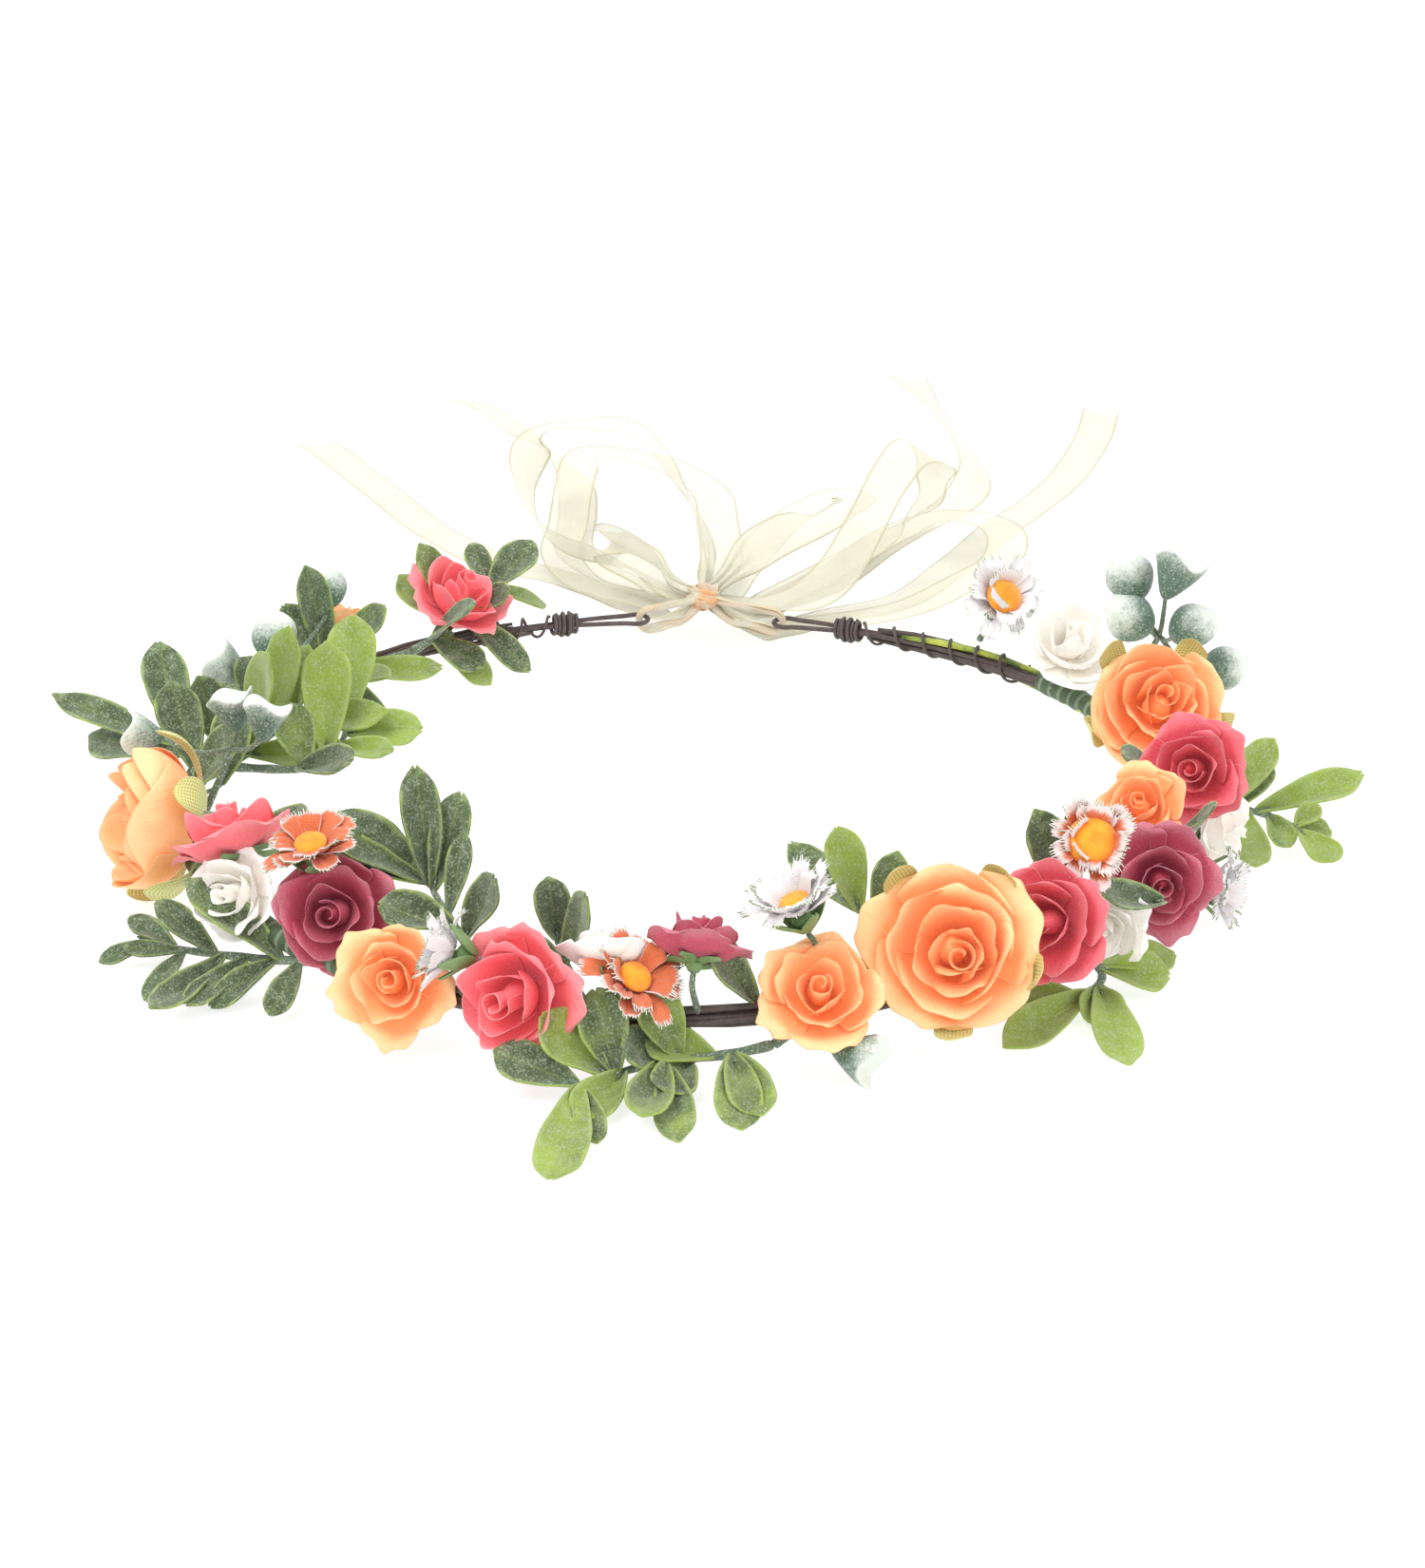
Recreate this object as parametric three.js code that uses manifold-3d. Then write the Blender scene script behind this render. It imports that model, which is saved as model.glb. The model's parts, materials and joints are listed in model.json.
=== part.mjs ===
// Flower crown: a doubled wire hoop dressed with paper roses, cloth daisies, leaf sprigs and bud picks,
// closed at the back by a ribbon bow. Millimetres, +Z up, the head goes through the middle along Z,
// the origin is the middle of the hoop on the surface that the crown lies on, and +Y points to the bow.
import * as THREE from 'three';
import { mergeVertices } from 'three/addons/utils/BufferGeometryUtils.js';
import Module from 'manifold-3d';

const wasm = await Module();
wasm.setup();

// Driving dimensions
const HOOP_RADIUS = 100;
const HOOP_HEIGHT = 11;
const WIRE_RADIUS = 0.6;
const STRAND_OFFSET = 0.75;
const EYE_RADIUS = 3;
const LEFT_NECK = 105;
const LEFT_TIP = 94.5;
const RIGHT_NECK = 68.5;
const RIGHT_TIP = 78;
const BUNDLE_RADIUS = 2.4;
const BUNDLE_STEP = 6;
const STEM_RADIUS = 0.8;
const BINDING_RADIUS = 2.4;
const RIBBON_WIDTH = 9.6;
const RIBBON_THICKNESS = 0.7;
const GATHER_RADIUS = 0.7;
const LINK_RADIUS = 2.5;
const LEAF_THICKNESS = 0.9;
const CLEARANCE = 0.36;
const HEAD_SIDES = 10;
const SPACE_SIDES = 7;
const TUBE_SIDES = 5;
const BUNDLE_SIDES = 8;

const UP = new THREE.Vector3(0, 0, 1);
const LEAF_FACING = new THREE.Vector3(0, -0.55, 0.83);

// Finishes
function finish(color, roughness, metalness = 0) {
  return new THREE.MeshStandardMaterial({ color, roughness, metalness });
}

const FINISHES = {
  wire: finish(0x5a3c2c, 0.75),
  tape: finish(0x4c6440, 0.85),
  coral: finish(0xe2596a, 0.85),
  burgundy: finish(0xa83d50, 0.85),
  orange: finish(0xf79a52, 0.8),
  white: finish(0xf6f2ec, 0.85),
  daisy_white: finish(0xf8f6f4, 0.9),
  daisy_orange: finish(0xee7d49, 0.9),
  leaf: finish(0x7d9a55, 0.8),
  bud: finish(0xdde5d6, 0.7),
  ribbon: finish(0xf3eed9, 0.5),
};

// Points on the hoop: an angle in degrees from +X towards +Y, at any radius and height.
function polar(degrees, radius, height = HOOP_HEIGHT) {
  const turn = THREE.MathUtils.degToRad(degrees);
  return new THREE.Vector3(radius * Math.cos(turn), radius * Math.sin(turn), height);
}

// A direction from its compass heading and its rise above the horizontal, both in degrees.
function direction(heading, rise) {
  const flat = Math.cos(THREE.MathUtils.degToRad(rise));
  return polar(heading, flat, Math.sin(THREE.MathUtils.degToRad(rise)));
}

function point([x, y, z]) {
  return new THREE.Vector3(x, y, z);
}

// A path through given points, with the direction of the section's first axis at each of them.
class Route extends THREE.Curve {
  constructor(points, across) {
    super();
    this.points = points;
    this.across = across;
  }

  getSpacedPoints() {
    return this.points;
  }

  computeFrenetFrames() {
    const last = this.points.length - 1;
    const tangents = this.points.map((here, i) => {
      const ahead = this.points[Math.min(i + 1, last)];
      const behind = this.points[Math.max(i - 1, 0)];
      return ahead.clone().sub(behind).normalize();
    });
    const binormals = tangents.map((tangent, i) => tangent.clone().cross(this.across[i]).normalize());
    const normals = tangents.map((tangent, i) => binormals[i].clone().cross(tangent));
    return { tangents, normals, binormals };
  }
}

function sweep(points, across, section) {
  return new THREE.ExtrudeGeometry(section, {
    steps: points.length - 1,
    extrudePath: new Route(points, across),
  });
}

// A round section with a flat side facing each end of its first axis.
function roundSection(radius, sides) {
  const corners = [];
  for (let side = 0; side < sides; side++) {
    const turn = ((side + 0.5) / sides) * 2 * Math.PI;
    corners.push(new THREE.Vector2(radius * Math.cos(turn), radius * Math.sin(turn)));
  }
  return new THREE.Shape(corners);
}

function smooth(points, pieces) {
  return new THREE.CatmullRomCurve3(points).getSpacedPoints(pieces);
}

function sameAcross(points, across) {
  return points.map(() => across);
}

// A tube whose space is a plain square one round it.
function tube(points, radius, grow, across = UP) {
  const sides = grow > 0 ? 4 : TUBE_SIDES;
  const outer = (radius + grow) / (grow > 0 ? Math.cos(Math.PI / sides) : 1);
  return sweep(points, sameAcross(points, across), roundSection(outer, sides));
}

// Solids
function solid(geometry) {
  const bare = geometry.clone();
  bare.deleteAttribute('normal');
  bare.deleteAttribute('uv');
  const merged = mergeVertices(bare, 1e-4);
  const triVerts = new Uint32Array(merged.index.array);
  const vertProperties = merged.attributes.position.array;
  return new wasm.Manifold(new wasm.Mesh({ numProp: 3, vertProperties, triVerts }));
}

function join(solids) {
  return solids.reduce((whole, next) => whole.add(next));
}

function cutBack(whole, taken) {
  return taken.reduce((left, space) => left.subtract(space), whole);
}

function largest(whole) {
  const bodies = whole.decompose();
  return bodies.reduce((best, next) => (next.volume() > best.volume() ? next : best));
}

function geometryOf(whole) {
  const { numProp, numVert, vertProperties, triVerts } = whole.getMesh();
  const positions = new Float32Array(numVert * 3);
  for (let i = 0; i < numVert; i++) {
    positions.set(vertProperties.subarray(i * numProp, i * numProp + 3), i * 3);
  }
  const geometry = new THREE.BufferGeometry();
  geometry.setAttribute('position', new THREE.BufferAttribute(positions, 3));
  geometry.setIndex(new THREE.BufferAttribute(new Uint32Array(triVerts), 1));
  geometry.computeVertexNormals();
  return geometry;
}

const crown = new THREE.Group();
const spaces = [];

function addMesh(name, finishName, whole) {
  const mesh = new THREE.Mesh(geometryOf(largest(whole)), FINISHES[finishName]);
  mesh.name = name;
  crown.add(mesh);
}

// Adds one named part. make(grow) gives its solid, grown outwards by grow: the part is cut back by the
// space that each earlier part and its clearance fills, and leaves its own space for the later ones.
function addPart(name, finishName, make) {
  addMesh(name, finishName, cutBack(make(0), spaces));
  spaces.push(make(CLEARANCE));
}

// Hoop wire: one wire run twice round the hoop, turned back on itself in an open eye at each end.
function eye(neck, tip) {
  const points = [];
  const sign = Math.sign(tip - neck);
  const length = Math.abs(THREE.MathUtils.degToRad(tip - neck)) * HOOP_RADIUS;
  const straight = 1 - EYE_RADIUS / length;
  for (const share of [0.3, 0.62, 0.86]) {
    const spread = THREE.MathUtils.lerp(STRAND_OFFSET, EYE_RADIUS - WIRE_RADIUS, Math.sqrt(share));
    points.push([THREE.MathUtils.lerp(neck, tip, share * straight), spread]);
  }
  for (let turn = 90; turn >= -90; turn -= 30) {
    const angle = THREE.MathUtils.degToRad(turn);
    const ahead = THREE.MathUtils.radToDeg((EYE_RADIUS * Math.cos(angle)) / HOOP_RADIUS);
    const base = THREE.MathUtils.lerp(neck, tip, straight);
    points.push([base + sign * ahead, EYE_RADIUS * Math.sin(angle)]);
  }
  const back = points.slice(0, 3).reverse().map(([at, spread]) => [at, -spread]);
  return points.concat(back);
}

function strand(from, to, offset) {
  const count = Math.ceil(Math.abs(to - from) / BUNDLE_STEP);
  const rows = [];
  for (let i = 0; i <= count; i++) {
    rows.push([THREE.MathUtils.lerp(from, to, i / count), offset]);
  }
  return rows;
}

function hoopWirePoints() {
  const front = 270;
  const gap = 0.3;
  const turn = 360;
  const rows = [
    ...strand(front + gap, RIGHT_NECK + turn, STRAND_OFFSET),
    ...eye(RIGHT_NECK + turn, RIGHT_TIP + turn),
    ...strand(RIGHT_NECK + turn, LEFT_NECK, -STRAND_OFFSET),
    ...eye(LEFT_NECK, LEFT_TIP).map(([at, spread]) => [at, -spread]),
    ...strand(LEFT_NECK, front - gap, STRAND_OFFSET),
  ];
  return rows.map(([at, offset]) => polar(at, HOOP_RADIUS + offset));
}

addPart('hoop_wire', 'wire', (grow) => solid(tube(hoopWirePoints(), WIRE_RADIUS, grow)));

// Stem bundle: the taped stems, a hollow ring segment round the two strands.
function arcPoints(from, to, step, radius = HOOP_RADIUS) {
  const count = Math.round(Math.abs(to - from) / step);
  const points = [];
  for (let i = 0; i <= count; i++) {
    points.push(polar(THREE.MathUtils.lerp(from, to, i / count), radius));
  }
  return points;
}

function bundleSection(grow) {
  const section = roundSection(BUNDLE_RADIUS + grow, BUNDLE_SIDES);
  if (grow === 0) {
    const bore = new THREE.Path();
    const high = WIRE_RADIUS + CLEARANCE;
    const wide = STRAND_OFFSET + WIRE_RADIUS + CLEARANCE;
    bore.setFromPoints([
      new THREE.Vector2(-high, -wide),
      new THREE.Vector2(high, -wide),
      new THREE.Vector2(high, wide),
      new THREE.Vector2(-high, wide),
    ]);
    section.holes.push(bore);
  }
  return section;
}

const BUNDLE_START = LEFT_NECK + 3;
const BUNDLE_END = RIGHT_NECK + 360 - 3;

function bundleTube(grow) {
  const points = arcPoints(BUNDLE_START, BUNDLE_END, BUNDLE_STEP);
  return solid(sweep(points, sameAcross(points, UP), bundleSection(grow)));
}

// Flower heads: [name, kind, finish, middle, heading, rise, radius]
const FLOWERS = [
  ['coral_rose_back', 'rose', 'coral', [-50, 81, 23], 20, 40, 10],
  ['small_orange_rose_back', 'rose', 'orange', [-73, 66, 23], 120, 45, 8],
  ['big_orange_rose_left', 'rose', 'orange', [-101, -27, 15], 185, 0, 15],
  ['coral_rose_left', 'rose', 'coral', [-84, -53, 26], 120, 55, 11],
  ['white_rose_left', 'rose', 'white', [-82, -55, 12], 200, 10, 8],
  ['orange_daisy_left', 'daisy', 'daisy_orange', [-67, -71, 31], -120, 50, 9],
  ['burgundy_rose_left', 'rose', 'burgundy', [-63, -73, 19], -90, 25, 11.5],
  ['small_orange_rose_left', 'rose', 'orange', [-51, -87, 11], -105, 20, 11.5],
  ['white_daisy_left', 'daisy', 'daisy_white', [-41, -96, 22], 175, 15, 8.5],
  ['coral_rose_front', 'rose', 'coral', [-26, -97, 15], -120, 10, 12],
  ['white_rose_front', 'rose', 'white', [-12, -97, 23], 90, 50, 7.5],
  ['orange_daisy_front', 'daisy', 'daisy_orange', [-7, -103, 20], -100, 20, 9.5],
  ['burgundy_rose_front', 'rose', 'burgundy', [4, -99, 25], 80, 50, 8.5],
  ['white_daisy_front', 'daisy', 'daisy_white', [22, -96, 31], -110, 60, 10],
  ['small_orange_rose_front', 'rose', 'orange', [26, -102, 18], -90, 50, 12],
  ['big_orange_rose_front', 'rose', 'orange', [50, -92, 21], -95, 30, 16],
  ['coral_rose_front_right', 'rose', 'coral', [69, -80, 20], -115, 20, 11],
  ['white_rose_front_right', 'rose', 'white', [81, -67, 13], -100, 0, 8],
  ['orange_daisy_right', 'daisy', 'daisy_orange', [77, -69, 31], -90, 30, 10],
  ['small_orange_rose_right', 'rose', 'orange', [89, -45, 28], -110, 40, 9.5],
  ['burgundy_rose_right', 'rose', 'burgundy', [92, -58, 18], -90, 15, 10],
  ['white_daisy_right', 'daisy', 'daisy_white', [105, -39, 9], -20, 0, 9],
  ['coral_rose_right', 'rose', 'coral', [101, -27, 28], -110, 25, 10.5],
  ['big_orange_rose_right', 'rose', 'orange', [98, 10, 26], -85, 35, 15],
  ['white_rose_right', 'rose', 'white', [109, -22, 14], -30, 0, 8],
  ['white_rose_back', 'rose', 'white', [84, 52, 23], 60, 45, 9.5],
];
const STANDING_DAISY = ['standing_daisy', 'daisy', 'daisy_white', [70, 70, 27], -60, 45, 9];

// Half sections from the calyx to the middle of the face, in head radii: [distance from axis, height].
const PROFILES = {
  rose: [[0, -0.75], [0.3, -0.66], [0.85, -0.2], [1, 0.18], [0.88, 0.5], [0.42, 0.62], [0.25, 0.42], [0, 0.38]],
  daisy: [[0, -0.5], [0.3, -0.42], [0.45, -0.05], [1, 0.1], [1, 0.26], [0.42, 0.2], [0.34, 0.42], [0, 0.5]],
};
// The plain outlines that hold a head's space.
const SPACE_PROFILES = {
  rose: [[0, -0.85], [0.8, -0.66], [1.16, -0.1], [1.14, 0.35], [0.8, 0.74], [0, 0.74]],
  daisy: [[0, -0.6], [0.6, -0.5], [1.15, 0], [1.15, 0.34], [0.55, 0.6], [0, 0.6]],
};
const CALYX = { rose: 0.75, daisy: 0.5 };

function headSolid([, kind, , middle, heading, rise, radius], grow) {
  const profile = grow > 0 ? SPACE_PROFILES[kind] : PROFILES[kind];
  const size = radius + grow;
  const outline = profile.map(([out, high]) => new THREE.Vector2(out * size, high * size));
  const geometry = new THREE.LatheGeometry(outline, grow > 0 ? SPACE_SIDES : HEAD_SIDES);
  const turn = new THREE.Quaternion();
  turn.setFromUnitVectors(new THREE.Vector3(0, 1, 0), direction(heading, rise));
  geometry.applyQuaternion(turn);
  geometry.translate(...middle);
  return solid(geometry);
}

// A stem leaves the skin of the bundle and runs into the calyx along the head's axis.
function stemPoints([, kind, , middle, heading, rise, radius], root) {
  const head = point(middle);
  const calyx = head.clone().addScaledVector(direction(heading, rise), -CALYX[kind] * radius - 2 * CLEARANCE);
  const at = root ?? THREE.MathUtils.radToDeg(Math.atan2(head.y, head.x));
  const centre = polar(at, HOOP_RADIUS);
  const skin = centre.clone().add(calyx.clone().sub(centre).setLength(BUNDLE_RADIUS - 0.5));
  return [skin, calyx];
}

function stemSolid(points, grow) {
  const along = points[1].clone().sub(points[0]).normalize();
  const side = new THREE.Vector3(-along.y, along.x, 0.1).normalize();
  return solid(tube(points, STEM_RADIUS, grow, side));
}

const bundleSpace = bundleTube(CLEARANCE);
for (const flower of FLOWERS) {
  addPart(flower[0], flower[2], (grow) => headSolid(flower, grow).subtract(bundleSpace));
}

// The bundle carries the flowers' stems, each cut back just short of the heads and of the strands.
const headSpaces = spaces.slice();

function bundleSolid(grow) {
  const stems = FLOWERS.map((flower) => cutBack(stemSolid(stemPoints(flower), grow), headSpaces));
  return join([bundleTube(grow), ...stems]);
}

addMesh('stem_bundle', 'tape', bundleSolid(0));
spaces.push(bundleSolid(CLEARANCE));

// Binding wires: the tight coils at each neck, as sleeves round the two strands.
function sleeve(from, to, grow) {
  const points = arcPoints(from, to, 2);
  const section = roundSection(BINDING_RADIUS + grow, BUNDLE_SIDES);
  const bore = new THREE.Path();
  bore.setFromPoints(bundleSection(0).holes[0].getPoints());
  if (grow === 0) {
    section.holes.push(bore);
  }
  return solid(sweep(points, sameAcross(points, UP), section));
}

addPart('binding_wire_left', 'wire', (grow) => sleeve(LEFT_NECK - 1.5, LEFT_NECK + 2.7, grow));
addPart('binding_wire_right', 'wire', (grow) => sleeve(RIGHT_NECK - 2.7, RIGHT_NECK + 1.5, grow));

// The free-standing daisy bends on its own stem, which starts just off the bundle's skin.
const STANDING_STEM = [point([66, 78, 14]), point(STANDING_DAISY[3])];
addPart(STANDING_DAISY[0], STANDING_DAISY[2], (grow) =>
  join([headSolid(STANDING_DAISY, grow), stemSolid(STANDING_STEM, grow)]),
);

// Leaf sprigs: stem points and leaves [share of the stem, heading, rise, length, width].
const SPRIGS = {
  leaf_sprig_back_left: {
    stem: [[-60, 74, 13], [-53, 79, 16], [-43, 94, 20]],
    leaves: [
      [0.95, 30, 45, 16, 9], [1, 135, 60, 12, 6], [1, 45, -20, 19, 6], [0.6, 160, 55, 19, 7],
      [0.4, 140, 30, 18, 8], [0.2, -60, 45, 23, 7], [0.7, -20, 30, 12, 7], [0.6, -25, -25, 20, 7],
      [0.2, -30, -15, 14, 8], [0.3, -30, -35, 16, 7],
    ],
  },
  leaf_sprig_left_back: {
    stem: [[-74, 58, 13], [-76, 56, 17], [-78, 50, 21]],
    leaves: [
      [0.3, -120, 70, 30, 8], [0.55, -10, 45, 21, 8], [1, 160, 60, 14, 8], [0.25, 5, -5, 24, 7],
      [0.3, -65, -5, 30, 8], [0.5, -60, 10, 31, 7], [0.95, 180, -10, 24, 7], [0.85, -125, -10, 17, 9],
    ],
  },
  leaf_sprig_left: {
    stem: [[-93, 10, 13], [-86, 14, 17], [-80, 19, 21]],
    leaves: [
      [0.55, -40, 70, 29, 9], [1, -40, 75, 16, 7], [0.35, -65, 60, 32, 11], [0.75, -15, 15, 26, 8],
      [0.25, -25, 10, 24, 9], [0.45, -130, 25, 13, 8],
    ],
  },
  leaf_sprig_far_left: {
    stem: [[-99, -4, 13], [-99, 4, 14], [-104, 16, 15]],
    leaves: [
      [1, 115, 40, 27, 13], [1, 145, 5, 33, 8], [0.8, 140, -5, 30, 12], [0.45, 120, 65, 19, 10],
      [0.1, -30, 55, 20, 9],
    ],
  },
  leaf_sprig_lower_left: {
    stem: [[-68, -75, 10], [-78, -66, 6], [-94, -58, 4], [-104, -54, 5]],
    leaves: [
      [0.8, 155, 20, 14, 7], [0.6, -175, 45, 17, 8], [0.75, 180, 0, 12, 4], [0.75, -110, -5, 17, 7],
      [0.55, -115, -5, 27, 8], [0.4, -125, -8, 18, 9], [0.25, -140, -10, 15, 8], [0.4, -170, 60, 22, 11],
      [0.1, -115, -25, 13, 7],
    ],
  },
  leaf_sprig_inner_left: {
    stem: [[-35, -93, 13], [-39, -80, 16], [-47, -60, 19]],
    leaves: [
      [1, -180, 40, 23, 11], [0.95, -135, 85, 25, 8], [0.9, 0, 75, 20, 8], [0.65, 55, 70, 16, 5],
      [0.55, -170, 25, 16, 9], [0.4, -40, 60, 20, 8], [1, -175, 25, 29, 9],
    ],
  },
  leaf_sprig_front_inner: {
    stem: [[-17, -97, 13], [-20, -90, 17], [-22, -86, 21]],
    leaves: [[0.6, -60, 60, 20, 8], [0.9, -95, 65, 16, 7], [0.5, -160, 35, 13, 8]],
  },
  leaf_sprig_front: {
    stem: [[18, -103, 7], [10, -103, 5], [-4, -105, 4], [-17, -113, 4]],
    leaves: [
      [1, 160, 15, 17, 9], [0.85, 170, 40, 17, 10], [0.8, 160, 75, 16, 10], [0.55, -150, 40, 11, 9],
      [0.45, -170, 70, 16, 9], [1, -95, -3, 29, 10], [1, -80, -5, 16, 6], [0.75, -115, -5, 17, 9],
      [0.55, -100, -3, 22, 9], [0.55, -80, -3, 24, 8], [0.4, -110, -5, 13, 9], [0.2, -85, -5, 21, 9],
      [0.2, -75, -8, 19, 9], [0.3, -180, 15, 14, 9],
    ],
  },
  leaf_sprig_right_inner: {
    stem: [[42, -93, 13], [38, -84, 18], [34, -77, 21]],
    leaves: [[1, 130, 15, 21, 7], [1, 170, 75, 18, 8], [0.7, 20, 75, 17, 7], [0.45, 15, 65, 17, 6]],
  },
  leaf_sprig_lower_right: {
    stem: [[78, -68, 8], [80, -72, 5], [76, -77, 3]],
    leaves: [
      [0.95, -165, 5, 14, 9], [0.85, -135, -3, 24, 9], [0.7, -85, -5, 11, 9], [0.6, -85, -4, 26, 9],
      [0.25, 0, -10, 14, 9], [0.2, 30, -5, 18, 8],
    ],
  },
  leaf_sprig_right: {
    stem: [[103, -5, 10], [112, -4, 10], [121, -2, 7], [126, -6, 6]],
    leaves: [
      [0.35, -10, 65, 17, 8], [0.4, 30, 55, 12, 7], [0.6, 25, 5, 26, 11], [0.95, 20, 40, 7, 6],
      [0.5, -95, -10, 23, 8], [0.7, -65, -20, 9, 6], [0.95, 0, -10, 8, 6], [1, -60, -15, 13, 7],
    ],
  },
};

// Leaf outline in shares of its length and width, round the right side and back up the left.
const LEAF_OUTLINE = [[0, 0], [0.42, -0.48], [0.86, -0.38], [1, 0], [0.86, 0.38], [0.42, 0.48]];

function leafSolid(base, heading, rise, length, width, grow) {
  const corners = LEAF_OUTLINE.map(([along, aside]) =>
    new THREE.Vector2(along * (length + 2 * grow) - grow, aside * (width + 2.4 * grow)));
  const depth = LEAF_THICKNESS + 2 * grow;
  const plate = new THREE.ExtrudeGeometry(new THREE.Shape(corners), { depth, bevelEnabled: false });
  plate.translate(0, 0, -depth / 2);
  const ahead = direction(heading, rise);
  const aside = new THREE.Vector3().crossVectors(LEAF_FACING, ahead).normalize();
  const face = new THREE.Vector3().crossVectors(ahead, aside);
  plate.applyMatrix4(new THREE.Matrix4().makeBasis(ahead, aside, face));
  plate.translate(base.x, base.y, base.z);
  return solid(plate);
}

function sprigSolid({ stem, leaves }, grow) {
  const curve = new THREE.CatmullRomCurve3(stem.map(point));
  const stemTube = solid(tube(curve.getSpacedPoints(stem.length + 1), STEM_RADIUS, grow));
  const blades = leaves.map(([share, heading, rise, length, width]) =>
    leafSolid(curve.getPointAt(share), heading, rise, length, width, grow));
  return join([stemTube, ...blades]);
}

for (const [name, sprig] of Object.entries(SPRIGS)) {
  addPart(name, 'leaf', (grow) => sprigSolid(sprig, grow));
}

// Bud picks: a shared stalk and buds [middle, heading, rise, radius], each with its own short stalk.
const BUD_PICKS = {
  bud_pick_back_right: {
    stem: [[90, 45, 13], [98, 42, 23], [101, 38, 31]],
    buds: [
      [[94, 37, 45], 150, 60, 5.5], [[103, 30, 48], 20, 65, 5.5], [[94, 33, 37], 190, 30, 5.5],
      [[107, 31, 36], 0, 35, 5], [[115, 37, 24], 10, 10, 5],
    ],
  },
  bud_pick_back_left: {
    stem: [[-90, 38, 13], [-88, 38, 19], [-87, 36, 24]],
    buds: [[[-85, 32, 33], 80, 80, 5], [[-76, 57, 35], 120, 60, 4.5], [[-96, 36, 25], 175, 30, 5]],
  },
  bud_pick_left: {
    stem: [[-95, -20, 14], [-90, -18, 25], [-89, -16, 28]],
    buds: [[[-88, -17, 37], 150, 75, 4.5], [[-81, -22, 37], 40, 75, 4.5], [[-108, -6, 27], 180, 10, 4.5]],
  },
  front_bud: {
    stem: [[32, -100, 9], [31, -102, 8], [31, -104, 7]],
    buds: [[[32, -108, 6], -50, -20, 4.5]],
  },
};
const BUD_SIDES = 7;
const BUD_PROFILE = [[0, -1.1], [0.6, -0.8], [1, -0.1], [0.8, 0.6], [0, 1.15]];

function budSolid(middle, heading, rise, radius, grow) {
  const size = radius + 1.2 * grow;
  const outline = BUD_PROFILE.map(([out, high]) => new THREE.Vector2(out * size, high * size));
  const geometry = new THREE.LatheGeometry(outline, BUD_SIDES);
  const turn = new THREE.Quaternion();
  turn.setFromUnitVectors(new THREE.Vector3(0, 1, 0), direction(heading, rise));
  geometry.applyQuaternion(turn);
  geometry.translate(...middle);
  return solid(geometry);
}

function pickSolid({ stem, buds }, grow) {
  const stalk = stem.map(point);
  const top = stalk[stalk.length - 1];
  const parts = [solid(tube(stalk, STEM_RADIUS, grow, new THREE.Vector3(1, 0, 0)))];
  for (const [middle, heading, rise, radius] of buds) {
    const head = point(middle);
    const foot = head.clone().addScaledVector(direction(heading, rise), -radius);
    const side = foot.clone().sub(top).cross(UP).normalize();
    parts.push(budSolid(middle, heading, rise, radius, grow));
    parts.push(solid(tube([top, head], STEM_RADIUS - 0.1, grow, side)));
  }
  return join(parts);
}

for (const [name, pick] of Object.entries(BUD_PICKS)) {
  addPart(name, 'bud', (grow) => pickSolid(pick, grow));
}

// Ribbon: the knot, the gathered links through the two eyes, and each run of ribbon as a thin strip.
const KNOT = [5, 106, 14];
const KNOT_RADIUS = 4.5;

function knotSolid(grow) {
  const geometry = new THREE.SphereGeometry(KNOT_RADIUS + grow, 10, 6);
  geometry.scale(1.1, 0.8, 0.9);
  geometry.translate(...KNOT);
  return solid(geometry);
}

addPart('ribbon_knot', 'ribbon', knotSolid);

// A link leaves the knot, passes down through the eye, round the end of the wire and back to the knot.
function linkPoints(tipDegrees, neck) {
  const tip = polar(tipDegrees, HOOP_RADIUS);
  const inward = polar(neck, HOOP_RADIUS).sub(tip).setZ(0).normalize();
  const points = [];
  const knot = point(KNOT);
  for (const share of [0.35, 0.65]) {
    points.push(knot.clone().lerp(tip, share).setZ(HOOP_HEIGHT + LINK_RADIUS));
  }
  for (let turn = 90; turn >= -90; turn -= 30) {
    const angle = THREE.MathUtils.degToRad(turn);
    const place = tip.clone().addScaledVector(inward, LINK_RADIUS * Math.cos(angle) - 0.4);
    points.push(place.setZ(HOOP_HEIGHT + LINK_RADIUS * Math.sin(angle)));
  }
  for (const share of [0.65, 0.35]) {
    points.push(knot.clone().lerp(tip, share).setZ(HOOP_HEIGHT - LINK_RADIUS + 1.2 * (1 - share)));
  }
  return points;
}

const ACROSS_LINK = new THREE.Vector3(0, 1, 0);
addPart('ribbon_link_left', 'ribbon', (grow) =>
  solid(tube(linkPoints(LEFT_TIP, LEFT_NECK), GATHER_RADIUS, grow, ACROSS_LINK)));
addPart('ribbon_link_right', 'ribbon', (grow) =>
  solid(tube(linkPoints(RIGHT_TIP, RIGHT_NECK), GATHER_RADIUS, grow, ACROSS_LINK)));

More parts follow.
